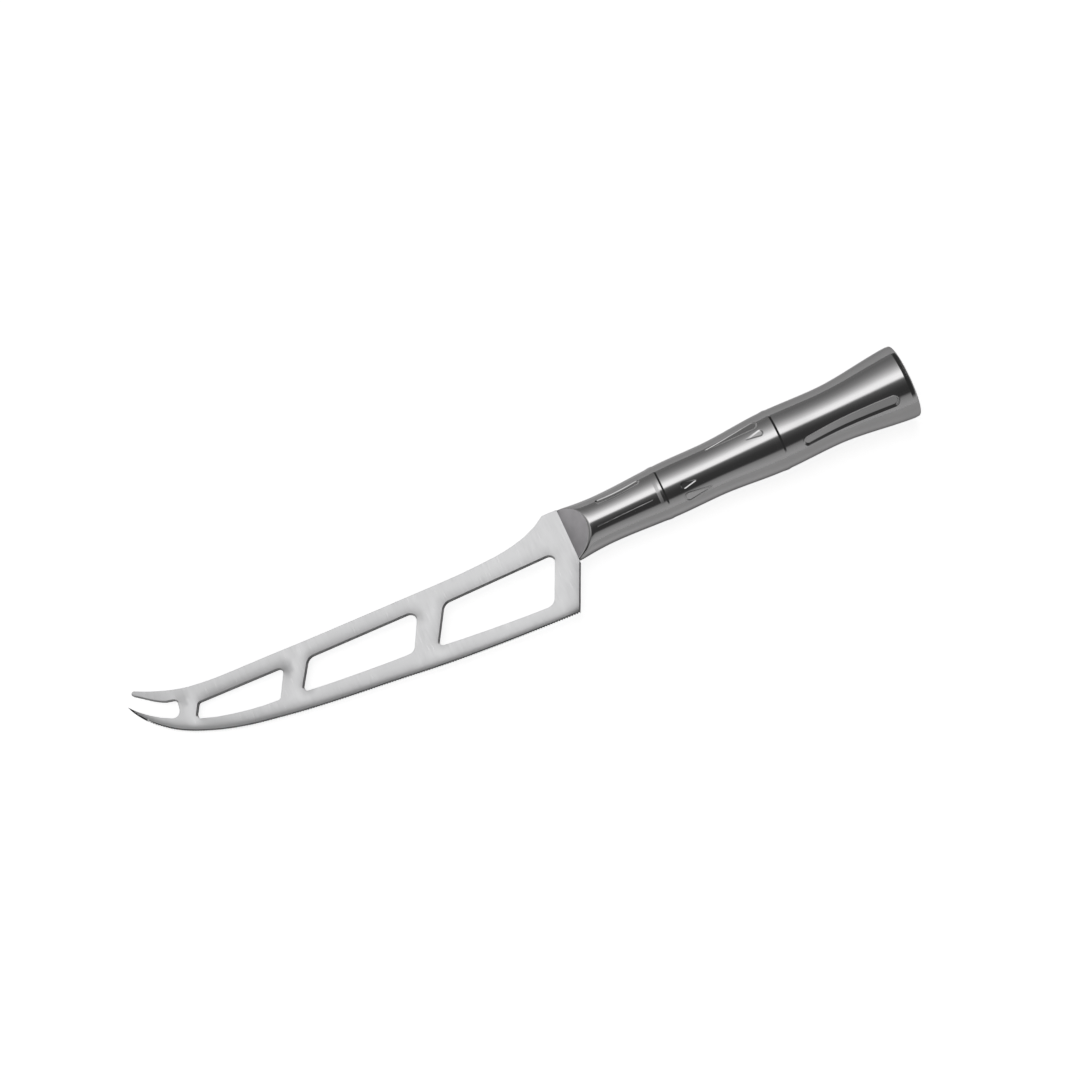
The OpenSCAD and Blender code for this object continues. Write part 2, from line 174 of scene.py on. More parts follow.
class KnifeBladeSizes(PropertyGroup):
    """Sizes of the ground blade."""

    soft_width: FloatProperty(
        name="Soft Edge Width",
        description="Width over which the faces round off above a window and along the heel",
        default=4.6 * MM,
        min=0.5 * MM,
        max=6 * MM,
        unit="LENGTH",
        precision=4,
    )
    soft_drop: FloatProperty(
        name="Soft Edge Drop",
        description="How far the faces have dropped there at the heel; it doubles towards the tip",
        default=0.23 * MM,
        min=0.0,
        max=0.3 * MM,
        unit="LENGTH",
        precision=5,
    )
    burr_width: FloatProperty(
        name="Edge Break",
        description="Width of the small break where a face meets a cut wall",
        default=0.1 * MM,
        min=0.02 * MM,
        max=0.3 * MM,
        unit="LENGTH",
        precision=5,
    )
    low_burr_width: FloatProperty(
        name="Low Edge Break",
        description="Width of the break above a wall that faces the cutting edge",
        default=0.32 * MM,
        min=0.05 * MM,
        max=0.5 * MM,
        unit="LENGTH",
        precision=5,
    )
    roll_width: FloatProperty(
        name="Edge Roll Width",
        description="Height over the cutting edge at which the photographed face starts to roll off",
        default=4.6 * MM,
        min=1 * MM,
        max=6 * MM,
        unit="LENGTH",
        precision=4,
    )
    roll_drop: FloatProperty(
        name="Edge Roll Drop",
        description="How far the photographed face has rolled off at the cutting edge by the heel",
        default=0.23 * MM,
        min=0.0,
        max=0.5 * MM,
        unit="LENGTH",
        precision=5,
    )
    turn_width: FloatProperty(
        name="Edge Turn Width",
        description="Height over the cutting edge at which the last, quicker roll starts",
        default=2 * MM,
        min=0.5 * MM,
        max=3 * MM,
        unit="LENGTH",
        precision=4,
    )
    turn_drop: FloatProperty(
        name="Edge Turn Drop",
        description="What the last roll adds at the cutting edge",
        default=0.11 * MM,
        min=0.0,
        max=0.2 * MM,
        unit="LENGTH",
        precision=5,
    )
    notch_gain: FloatProperty(
        name="Notch Gain",
        description="Depth of the notches between the teeth as a share of the plain blade's",
        default=1.12,
        min=1.0,
        max=2.0,
    )
    bevel_height: FloatProperty(
        name="Small Bevel Height",
        description="Height of the small bevel on the photographed face",
        default=0.55 * MM,
        min=0.2 * MM,
        max=1.4 * MM,
        unit="LENGTH",
        precision=4,
    )
    bevel_drop: FloatProperty(
        name="Small Bevel Drop",
        description="Depth of the small bevel on the photographed face",
        default=0.13 * MM,
        min=0.0,
        max=0.5 * MM,
        unit="LENGTH",
        precision=5,
    )
    grind_height: FloatProperty(
        name="Back Grind Height",
        description="Height of the convex grind above the cutting edge on the back",
        default=3 * MM,
        min=1 * MM,
        max=6 * MM,
        unit="LENGTH",
        precision=4,
    )
    edge_thickness: FloatProperty(
        name="Edge Thickness",
        description="Thickness that the grind leaves at the cutting edge",
        default=0.2 * MM,
        min=0.05 * MM,
        max=0.5 * MM,
        unit="LENGTH",
        precision=5,
    )


class KnifeShellSizes(PropertyGroup):
    """Sizes of the two pressed shells and of the welds between them."""

    wall: FloatProperty(
        name="Shell Wall",
        description="Wall of the shells, up to the neck insert",
        default=1.05 * MM,
        min=0.6 * MM,
        max=1.4 * MM,
        unit="LENGTH",
        precision=4,
    )
    columns: IntProperty(
        name="Columns Round A Shell",
        description="Faces round one shell, in fours",
        default=260,
        min=40,
        max=320,
    )
    lip_length: FloatProperty(
        name="Lip Along The Handle",
        description="How far the polished lip of the cheek runs along the handle",
        default=2 * MM,
        min=0.1 * MM,
        max=4 * MM,
        unit="LENGTH",
        precision=4,
    )
    lip_depth: FloatProperty(
        name="Lip Over The Cheek",
        description="How far the polished lip runs over the cheek",
        default=0.8 * MM,
        min=0.05 * MM,
        max=1.0 * MM,
        unit="LENGTH",
        precision=4,
    )
    ring_depth: FloatProperty(
        name="Ring Line Depth",
        description="Depth of the fine line pressed beside each ring bead",
        default=0.01 * MM,
        min=0.0,
        max=0.1 * MM,
        unit="LENGTH",
        precision=5,
    )
    bead_height: FloatProperty(
        name="Ring Bead Height",
        description="Height of the low flat bead at each ring",
        default=0.12 * MM,
        min=0.0,
        max=0.2 * MM,
        unit="LENGTH",
        precision=5,
    )
    weld_width: FloatProperty(
        name="Weld Width",
        description="Width of the dressed welds between the shells",
        default=0.7 * MM,
        min=0.3 * MM,
        max=1.2 * MM,
        unit="LENGTH",
        precision=4,
    )
    weld_depth: FloatProperty(
        name="Weld Depth",
        description="Depth of the dressed welds between the shells",
        default=0.5 * MM,
        min=0.2 * MM,
        max=0.9 * MM,
        unit="LENGTH",
        precision=4,
    )
    rim_radius: FloatProperty(
        name="Butt Rim Radius",
        description="Radius of the rounded edge round the butt",
        default=0.6 * MM,
        min=0.2 * MM,
        max=1 * MM,
        unit="LENGTH",
        precision=4,
    )
    roll_length: FloatProperty(
        name="Butt Roll Length",
        description="Length of the narrow band in front of the rim where the face rolls off",
        default=1.2 * MM,
        min=0.4 * MM,
        max=3 * MM,
        unit="LENGTH",
        precision=4,
    )
    roll_drop: FloatProperty(
        name="Butt Roll Drop",
        description="How far the face has rolled off at the rim",
        default=0.14 * MM,
        min=0.0,
        max=0.3 * MM,
        unit="LENGTH",
        precision=5,
    )


class KnifeFinishes(PropertyGroup):
    """Colours and finishes of the metals and of the filling."""

    blade_color: FloatVectorProperty(
        name="Blade Steel",
        description="Colour of the satin blade",
        subtype="COLOR",
        size=3,
        default=(0.54, 0.54, 0.545),
        min=0.0,
        max=1.0,
    )
    blade_roughness: FloatProperty(
        name="Blade Roughness",
        description="Mean roughness of the satin blade",
        subtype="FACTOR",
        default=0.3,
        min=0.0,
        max=1.0,
    )
    # Painted shade: near-black colour given to the blade's cut walls that face the edge side and to
    # its teeth
    shaded_wall_color: FloatVectorProperty(
        name="Cut Walls",
        description="Colour of the dark cut walls of the blade",
        subtype="COLOR",
        size=3,
        default=(0.028, 0.028, 0.03),
        min=0.0,
        max=1.0,
    )
    shell_color: FloatVectorProperty(
        name="Polished Steel",
        description="Colour of the polished shells, welds and cap",
        subtype="COLOR",
        size=3,
        default=(0.5, 0.495, 0.497),
        min=0.0,
        max=1.0,
    )
    shell_roughness: FloatProperty(
        name="Polish Roughness",
        description="Mean roughness of the polished handle",
        subtype="FACTOR",
        default=0.1,
        min=0.0,
        max=1.0,
    )
    cheek_color: FloatVectorProperty(
        name="Cheek Steel",
        description="Colour of the ground cheeks at the neck",
        subtype="COLOR",
        size=3,
        default=(0.55, 0.535, 0.552),
        min=0.0,
        max=1.0,
    )
    cheek_roughness: FloatProperty(
        name="Cheek Roughness",
        description="Mean roughness of the ground cheeks",
        subtype="FACTOR",
        default=0.36,
        min=0.0,
        max=1.0,
    )
    filling_color: FloatVectorProperty(
        name="Filling",
        description="Colour of the mineral filling",
        subtype="COLOR",
        size=3,
        default=(0.34, 0.27, 0.16),
        min=0.0,
        max=1.0,
    )
    stopper_color: FloatVectorProperty(
        name="Stopper",
        description="Colour of the plastic stopper",
        subtype="COLOR",
        size=3,
        default=(0.035, 0.035, 0.037),
        min=0.0,
        max=1.0,
    )


class KnifeStudio(PropertyGroup):
    """Floor, light and camera."""

    floor_color: FloatVectorProperty(
        name="Floor",
        description="Colour of the floor",
        subtype="COLOR",
        size=3,
        default=(0.8, 0.8, 0.8),
        min=0.0,
        max=1.0,
    )
    floor_glow: FloatProperty(
        name="Floor White",
        description="What the floor adds where the camera sees it, so that it shows white",
        default=0.8,
        min=0.0,
        max=1.5,
    )
    # Painted reflection: share of the floor's glow, brighter and darker by side, that polished metal
    # alone sees
    painted_reflection_share: FloatProperty(
        name="Floor White In Metal",
        description="Share of that white which polished metal shows",
        subtype="FACTOR",
        default=1.0,
        min=0.0,
        max=1.0,
    )
    light_level: FloatProperty(
        name="Light Level",
        description="Strength of the studio light",
        default=1.0,
        min=0.0,
        max=4.0,
    )
    camera_distance: FloatProperty(
        name="Camera Distance",
        description="Distance from the camera to the middle of the knife",
        default=0.7,
        min=0.3,
        max=3.0,
        unit="LENGTH",
    )
    camera_tilt: FloatProperty(
        name="Camera Tilt",
        description="How far the camera leans towards the cutting edge",
        default=math.radians(12.5),
        min=0.0,
        max=math.radians(60),
        unit="ROTATION",
    )
    camera_roll: FloatProperty(
        name="Camera Roll",
        description="How far the handle rises to the right in the picture",
        default=math.radians(24.75),
        min=math.radians(-180),
        max=math.radians(180),
        unit="ROTATION",
    )
    view_width: FloatProperty(
        name="View Width",
        description="Width of the picture at the knife",
        default=0.32087,
        min=0.05,
        max=2.0,
        unit="LENGTH",
    )


# Shape of the handle

def rise(t, flare_in, flare_out):
    """Rise between two stations, level at both ends unless a flare is asked for."""
    plain = 3 * t**2 - 2 * t**3
    return plain + flare_in * (t**3 - 2 * t**2 + t) + flare_out * (t**3 - t**2)


def handle_radius(x):
    """Radius of the handle at places along its axis, in metres."""
    x = np.asarray(x, float) / MM
    radius = np.zeros_like(x)
    last = len(HANDLE_STATIONS) - 2
    for i in range(last + 1):
        (x0, r0), (x1, r1) = HANDLE_STATIONS[i : i + 2]
        here = (x >= x0) | (i == 0)
        t = np.clip((x - x0) / (x1 - x0), 0, 1)
        flare_in = MOUTH_FLARE if i == 0 else 0
        flare_out = BUTT_FLARE if i == last else 0
        radius = np.where(here, r0 + (r1 - r0) * rise(t, flare_in, flare_out), radius)
    return radius * MM


def hump(s, width):
    """Smooth hump of height 1 over a half width."""
    return 0.5 + 0.5 * np.cos(np.pi * np.clip(s / width, -1, 1))


def ring_dent(x, sizes):
    """Depth of the ring lines, with a low flat bead on the blade's side of each."""
    places, shares = zip(*RING_BEAD)
    line_at, line_half = RING_LINE
    dent = np.zeros_like(x)
    for ring in RING_XS:
        s = (x - ring * MM) / MM
        dent -= sizes.bead_height * np.interp(s, places, shares)
        dent += sizes.ring_depth * hump(s - line_at, line_half)
    return dent


def butt_roll(x, sizes):
    """How far the handle's face has rolled off just before the rounded rim of the butt."""
    start = -sizes.rim_radius - sizes.roll_length
    t = np.clip((x - start) / sizes.roll_length, 0, 1)
    bend = ROLL_BEND
    rolled = np.where(t < bend, t * t / (2 * bend), t - bend / 2) / (1 - bend / 2)
    return sizes.roll_drop * rolled


def mark_distance(u, q, length, ra, rb):
    """Distance outside a mark with round ends of radius ra and rb, negative inside."""
    q = np.abs(q)
    u = u - ra
    h = length - ra - rb
    b = (ra - rb) / h
    a = math.sqrt(1 - b * b)
    k = a * u - b * q
    start = np.hypot(u, q) - ra
    end = np.hypot(u - h, q) - rb
    side = a * q + b * u - ra
    return np.where(k < 0, start, np.where(k > a * h, end, side))


def soft_minimum(a, b, k):
    """Lower of two values, with the corner between them rounded over k."""
    h = np.clip(0.5 + 0.5 * (b - a) / k, 0, 1)
    return b + (a - b) * h - k * h * (1 - h)


def mark_dent(x, phi):
    """Depth of the pressed marks, each with sloping walls, a flat floor and a low lip round it."""
    dent = np.zeros(np.broadcast(x, phi).shape)
    lips = np.zeros_like(dent)
    r = handle_radius(x)
    top = MARK_TOP_ROUNDING * MM
    lip_at, lip_half = (n * MM for n in MARK_LIP)
    for start, length, angles, end_a, end_b, depth, upper, lower, lip in MARKS:
        start, length, depth = start * MM, length * MM, depth * MM
        t = np.clip((x - start) / length, 0, 1)
        a, b, c = (math.radians(v) for v in angles)
        centre = a * (1 - t) * (1 - 2 * t) + 4 * b * t * (1 - t) + c * t * (2 * t - 1)
        turn = phi - centre
        across = r * turn
        ra, rb = end_a * MM / 2, end_b * MM / 2
        d = mark_distance(x - start, across, length, ra, rb)
        wall = np.where(d < -top, -d, np.where(d < top, (top - d) ** 2 / (4 * top), 0))
        wide = np.maximum(ra + (rb - ra) * t, MARK_LEAST_WIDTH * MM)
        side = rise(np.clip(0.5 + across / wide, 0, 1), 0, 0)
        wall = wall * (lower + (upper - lower) * side)
        middle = depth + wide**2 / (2 * r)
        floor = r - (r - middle) / np.maximum(np.cos(turn), 0.5)
        floor = np.maximum(floor, 0)
        sunk = soft_minimum(wall, floor, MARK_FOOT_ROUNDING * MM)
        dent = np.where(d < top, np.maximum(dent, sunk), dent)
        lips += lip * MM * hump(d - lip_at, lip_half)
    return np.maximum(dent, 0) - lips


def on_handle(x, phi, sizes):
    """Points of the handle's outer face, phi measured from the photographed side to the spine side."""
    r = handle_radius(x) - ring_dent(x, sizes) - mark_dent(x, phi) - butt_roll(x, sizes)
    return round_axis(x, r, phi)


def cheek_edge(phi, depth):
    """Where the layer a given depth under the handle's face meets the slanted cheek or the mouth."""
    x = np.full_like(phi, MOUTH_X * MM)
    # The place and the radius there depend on each other, so they are found by turns
    for _ in range(30):
        reach = (handle_radius(x) - depth) * np.cos(phi) - BLADE_HALF * MM
        x = MOUTH_X * MM + np.maximum(reach, 0)
    return round_axis(x, handle_radius(x) - depth, phi)


def row_places(sizes):
    """Places of the rows along the handle, closer together where it has detail."""
    fine = list(END_STEPS)
    for ring in RING_XS:
        fine.extend((ring + start, ring + end, step) for start, end, step in RING_STEPS)
    for start, length, *_ in MARKS:
        first, last = start - MARK_MARGIN, start + length + MARK_MARGIN
        if length < SHORT_MARK:
            fine.append((first, last, SHORT_MARK_STEP))
        else:
            fine.append((first, start + MARK_END_REACH, MARK_END_STEP))
            fine.append((start + length - MARK_END_REACH, last, MARK_END_STEP))
    x = np.linspace(MOUTH_X, -sizes.rim_radius / MM, 20001)
    step = np.full_like(x, PLAIN_STEP)
    for a, b, fineness in fine:
        step = np.where((x >= a) & (x <= b), np.minimum(step, fineness), step)
    run = np.concatenate([[0], np.cumsum(np.diff(x) / ((step[1:] + step[:-1]) / 2))])
    count = int(run[-1]) + 1
    count += -(count + LIP_ROWS + RIM_ROWS) % COARSE
    return np.interp(np.linspace(0, run[-1], count + 1), run, x) * MM


def unit(v):
    """Vectors in the same directions with a length of 1."""
    return v / np.maximum(np.linalg.norm(v, axis=-1, keepdims=True), 1e-12)


def round_axis(x, r, phi):
    """Points at places along the axis, at a radius and an angle round it."""
    return np.stack([x, r * np.sin(phi), r * np.cos(phi)], -1)


def seam_angle(x, sizes):
    """Angle at which a shell ends beside the weld on its seam."""
    return np.arccos(sizes.weld_width / 2 / handle_radius(x))


def body_normals(x, phi, sizes):
    """Normals of the handle's outer face, from points a little to each side."""
    e = 0.012 * MM
    along = on_handle(x + e, phi, sizes) - on_handle(x - e, phi, sizes)
    turn = e / (MEAN_RADIUS * MM)
    across = on_handle(x, phi + turn, sizes) - on_handle(x, phi - turn, sizes)
    return unit(np.cross(along, across))


def cheek_lip(edge, inner_edge, first_row, sizes):
    """Rounded lip from the cheek to the first row: points and normals."""
    inward = unit(inner_edge - edge)
    # The lip runs further over the cheek on the edge side than on the spine side
    edge_side = np.clip(0.55 - 0.45 * edge[:, 1:2] / (4 * MM), 0.3, 1)
    low = edge + sizes.lip_depth * edge_side * inward
    lip, along = [], []
    for i in range(LIP_ROWS):
        t = (i / LIP_ROWS) ** LIP_CROWDING
        lip.append((1 - t) ** 2 * low + 2 * t * (1 - t) * edge + t**2 * first_row)
        along.append((1 - t) * (edge - low) + t * (first_row - edge))
    lip = np.array(lip)
    return lip, unit(np.cross(np.array(along), np.gradient(lip, axis=1)))


def butt_rim(phi, sizes):
    """Rounded rim at the butt: points and normals."""
    radius = handle_radius(-sizes.rim_radius) - sizes.roll_drop
    rim, normal = [], []
    for i in range(1, RIM_ROWS + 1):
        a = math.pi / 2 * i / RIM_ROWS
        at = np.full_like(phi, sizes.rim_radius * (math.sin(a) - 1))
        rim.append(round_axis(at, radius + sizes.rim_radius * (math.cos(a) - 1), phi))
        normal.append(round_axis(np.full_like(phi, math.sin(a)), math.cos(a), phi))
    return np.array(rim), np.array(normal)


def inner_wall(places, inner_start, v, sizes):
    """Points of a shell's inner wall, one for every few of the outer face's."""
    x = np.concatenate([np.full(LIP_ROWS, places[0]), places, np.full(RIM_ROWS, places[-1])])
    x = x[::COARSE]
    x = np.maximum.accumulate(x + np.arange(len(x)) * 1e-7)
    t = (x - x[0]) / (x[-1] - x[0])
    x = inner_start[:, 0] + t[:, None] * (HOLLOW_END * MM - inner_start[:, 0])
    # The inner wall stops just short of the seams
    phi = v * (math.pi / 2 - 0.002)
    inner = round_axis(x, handle_radius(x) - sizes.wall, np.broadcast_to(phi, x.shape))
    inner[0] = cheek_edge(phi, sizes.wall)
    return inner


def shell_faces(sizes):
    """Outer points and normals of the shell on the photographed side, and its inner points."""
    places = row_places(sizes)
    columns = sizes.columns // COARSE * COARSE
    v = np.linspace(-1, 1, columns + 1)
    start_phi = v * seam_angle(MOUTH_X * MM, sizes)
    edge = cheek_edge(start_phi, 0)
    inner_edge = cheek_edge(start_phi, sizes.wall)
    start_x = edge[:, 0] + sizes.lip_length
    free_x = NECK_END * MM
    nominal = places[:, None]
    share = (nominal - places[0]) / (free_x - places[0])
    x = np.where(nominal < free_x, start_x + share * (free_x - start_x), nominal)
    phi = v * seam_angle(x, sizes)
    body = on_handle(x, phi, sizes)
    lip, lip_normal = cheek_lip(edge, inner_edge, body[0], sizes)
    rim, rim_normal = butt_rim(phi[-1], sizes)
    outer = np.concatenate([lip, body, rim])
    normal = np.concatenate([lip_normal, body_normals(x, phi, sizes), rim_normal])
    return outer, normal, inner_wall(places, inner_edge[::COARSE], v[::COARSE], sizes)


# Meshes

def flat_normal(points, face):
    """Normal of a flat face by Newell's way."""
    p = points[list(face)]
    q = np.roll(p, -1, axis=0)
    n = np.cross(p, q).sum(0)
    return n / max(np.linalg.norm(n), 1e-20)


class Faces:
    """Faces of a piece, with a normal for each corner and the number of each face's material."""

    def __init__(self, points):
        self.points = points
        self.faces = []
        self.corner_normals = []
        self.kinds = []

    def smooth(self, face, normals, kind=0):
        """Adds a face whose corners take the normals of their points."""
        self.faces.append(tuple(face))
        self.corner_normals.extend(normals[k] for k in face)
        self.kinds.append(kind)

    def flat(self, face, kind=0):
        """Adds a flat face."""
        self.faces.append(tuple(face))
        self.corner_normals.extend([flat_normal(self.points, face)] * len(face))
        self.kinds.append(kind)

    def piece(self, name, materials):
        """Makes the mesh object."""
        mesh = bpy.data.meshes.new(name)
        mesh.from_pydata([tuple(p) for p in self.points], [], self.faces)
        for material in materials:
            mesh.materials.append(material)
        mesh.polygons.foreach_set("material_index", np.asarray(self.kinds, np.int32))
        mesh.polygons.foreach_set("use_smooth", np.ones(len(mesh.polygons), bool))
        if mesh.validate(verbose=False):
            raise RuntimeError(f"the mesh of {name} has faults")
        mesh.normals_split_custom_set(self.corner_normals)
        mesh.update()
        piece = bpy.data.objects.new(name, mesh)
        bpy.context.scene.collection.objects.link(piece)
        return piece


def shell_mesh(name, sizes, materials, turned):
    """Closed shell: a fine outer face, a coarse inner wall and rims between them."""
    outer, normal, inner = shell_faces(sizes)
    if turned:
        half_turn = np.array([1.0, -1.0, -1.0])
        outer, normal, inner = outer * half_turn, normal * half_turn, inner * half_turn
    rows, columns = outer.shape[:2]
    inner_rows, inner_columns = inner.shape[:2]
    shell = Faces(np.concatenate([outer.reshape(-1, 3), inner.reshape(-1, 3)]))
    normals = normal.reshape(-1, 3)
    for i in range(rows - 1):
        for j in range(columns - 1):
            a = i * columns + j
            shell.smooth((a, a + columns, a + columns + 1, a + 1), normals)
    base = rows * columns
    for i in range(inner_rows - 1):
        for j in range(inner_columns - 1):
            a = base + i * inner_columns + j
            shell.flat((a, a + 1, a + inner_columns + 1, a + inner_columns), 1)
    # Rims at the mouth and at the butt
    steps = range(COARSE + 1)
    for j in range(inner_columns - 1):
        k = j * COARSE
        shell.flat([base + j + 1, base + j] + [k + n for n in steps], 1)
        last = (rows - 1) * columns
        a = base + (inner_rows - 1) * inner_columns + j
        shell.flat([a, a + 1] + [last + k + COARSE - n for n in steps], 0)
    # Rims along the two seams
    for i in range(inner_rows - 1):
        k = i * COARSE
        a = base + i * inner_columns
        shell.flat([a, a + inner_columns] + [(k + COARSE - n) * columns for n in steps], 1)
        a += inner_columns - 1
        last = columns - 1
        shell.flat([a + inner_columns, a] + [(k + n) * columns + last for n in steps], 1)
    return shell.piece(name, materials)


def weld_mesh(name, sizes, material, side):
    """Weld strip between the shells, dressed flush. side is 1 at the spine and -1 at the edge."""
    outer, normal, _ = shell_faces(sizes)
    column = -1 if side > 0 else 0
    line, line_normal = outer[:, column], normal[:, column]
    reach = np.hypot(line[:, 1], line[:, 2])
    lean = np.hypot(line_normal[:, 1], line_normal[:, 2])
    half = sizes.weld_width / 2
    points, normals = [], []
    for z in (-half, 0, half):
        y = np.sqrt(reach**2 - z**2)
        points.append(np.stack([line[:, 0], side * y, np.full_like(y, z)], -1))
        normals.append(np.stack([line_normal[:, 0], side * lean * y / reach, lean * z / reach], -1))
    foot = reach - sizes.weld_depth
    points.append(np.stack([line[:, 0], side * foot, np.zeros_like(foot)], -1))
    normals = np.concatenate(normals)
    weld = Faces(np.concatenate(points))
    rows = len(line)

    def turned(face):
        return face[::-1] if side < 0 else face

    for i in range(rows - 1):
        for a in (i, rows + i):
            b = a + rows
            weld.smooth(turned((a, b, b + 1, a + 1)), normals)
        foot_at = 3 * rows + i
        weld.flat(turned((i, i + 1, foot_at + 1, foot_at)))
        weld.flat(turned((2 * rows + i + 1, 2 * rows + i, foot_at, foot_at + 1)))
    end = rows - 1
    weld.flat(turned((0, 3 * rows, 2 * rows, rows)))
    weld.flat(turned((end, rows + end, 2 * rows + end, 3 * rows + end)))
    return weld.piece(name, [material])


# Shape of the blade

def level_loops(node, z):
    """Outlines of a CAD node at a height, as closed loops of points."""
    mesh = bmesh.new()
    mesh.from_mesh(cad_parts[node].data)
    bmesh.ops.remove_doubles(mesh, verts=mesh.verts, dist=1e-7)
    parts = mesh.verts[:] + mesh.edges[:] + mesh.faces[:]
    plane = {"plane_co": (0, 0, z), "plane_no": (0, 0, 1)}
    bmesh.ops.bisect_plane(mesh, geom=parts, dist=1e-8, clear_inner=True, clear_outer=True, **plane)
    bmesh.ops.remove_doubles(mesh, verts=mesh.verts, dist=2e-7)
    mesh.edges.index_update()
    left = set(mesh.edges)
    loops = []
    while left:
        edge = min(left, key=lambda e: e.index)
        left.discard(edge)
        first, here = edge.verts
        loop = [first.co.copy()]
        while here is not first:
            loop.append(here.co.copy())
            following = [e for e in here.link_edges if e in left]
            if not following:
                raise RuntimeError("an outline of the blade isn't closed")
            edge = following[0]
            left.discard(edge)
            here = edge.other_vert(here)
        loops.append(np.array([(p.x, p.y) for p in loop]))
    mesh.free()
    return loops


def plain_corners(loop):
    """Loop without doubled points and without points on a straight line, anticlockwise."""
    step = np.linalg.norm(loop - np.roll(loop, 1, axis=0), axis=1)
    loop = loop[step > DOUBLED_GAP * MM]
    before = np.roll(loop, 1, axis=0)
    after = np.roll(loop, -1, axis=0)
    a = unit(loop - before)
    b = unit(after - loop)
    turn = np.abs(a[:, 0] * b[:, 1] - a[:, 1] * b[:, 0])
    loop = loop[turn > STRAIGHT_TURN]
    x, y = loop.T
    area = np.sum(x * np.roll(y, -1) - np.roll(x, -1) * y)
    return loop if area > 0 else loop[::-1]


def split_long(loop, longest):
    """Loop with its long straight stretches divided."""
    points = []
    for a, b in zip(loop, np.roll(loop, -1, axis=0)):
        count = max(1, math.ceil(np.linalg.norm(b - a) / longest))
        for i in range(count):
            points.append(a + (b - a) * i / count)
    return np.array(points)


def distance_to(points, starts, ends):
    """Least distance from each point to a set of segments."""
    best = np.full(len(points), 1e9)
    for i in range(0, len(points), 2000):
        p = points[i : i + 2000, None]
        d = ends - starts
        t = np.sum((p - starts) * d, -1) / np.maximum(np.sum(d * d, -1), 1e-18)
        gap = p - (starts + np.clip(t, 0, 1)[..., None] * d)
        best[i : i + 2000] = np.sqrt(np.sum(gap * gap, -1)).min(1)
    return best


def inside(points, loops):
    """Whether each point lies in the area that the loops bound."""
    odd = np.zeros(len(points), bool)
    x, y = points[:, 0:1], points[:, 1:2]
    for loop in loops:
        a, b = loop, np.roll(loop, -1, axis=0)
        spans = (a[:, 1] > y) != (b[:, 1] > y)
        rise_y = np.where(a[:, 1] == b[:, 1], 1e-18, b[:, 1] - a[:, 1])
        cross_x = a[:, 0] + (y - a[:, 1]) / rise_y * (b[:, 0] - a[:, 0])
        odd ^= (np.sum(spans & (x < cross_x), axis=1) % 2).astype(bool)
    return odd


def edge_parts(outline):
    """Cutting edge without its notches, and the segments of the rest of the outline."""
    heel = int(np.argmin(outline[:, 1]))
    tip = int(np.argmin(outline[:, 0]))
    count = len(outline)
    forward = [(heel + i) % count for i in range((tip - heel) % count + 1)]
    backward = [(heel - i) % count for i in range((heel - tip) % count + 1)]
    chain = min((forward, backward), key=lambda c: outline[c][:, 1].max())
    line = outline[chain]
    a = unit(np.diff(line, axis=0))
    turn = a[:-1, 0] * a[1:, 1] - a[:-1, 1] * a[1:, 0]
    notch_side = 1 if chain is forward else -1
    keep = np.concatenate([[True], -turn * notch_side < NOTCH_TURN, [True]])
    smooth_line = line[keep]
    used = set(zip(chain[:-1], chain[1:])) | set(zip(chain[1:], chain[:-1]))
    rest = [(i, (i + 1) % count) for i in range(count) if (i, (i + 1) % count) not in used]
    rest = np.array(rest)
    return smooth_line, outline[rest[:, 0]], outline[rest[:, 1]]


def deepen_notches(outline, gain):
    """Outline with the notches between its teeth cut deeper, and the depth that they get."""
    line, rest_a, rest_b = edge_parts(outline)
    least, most = (n * MM for n in NOTCH_HEIGHTS)
    over = distance_to(outline, line[:-1], line[1:])
    on_edge = distance_to(outline, rest_a, rest_b) > least
    notch = on_edge & (over > least) & (over < most)
    deeper = outline.copy()
    for i in np.flatnonzero(notch):
        middle = (outline[i - 1] + outline[(i + 1) % len(outline)]) / 2
        deeper[i] = middle + (outline[i] - middle) * gain
    return deeper, gain * np.median(over[notch])


def fade(distance, width):
    """Share that falls from 1 at no distance to 0 at the width."""
    return np.clip(1 - distance / width, 0, 1)


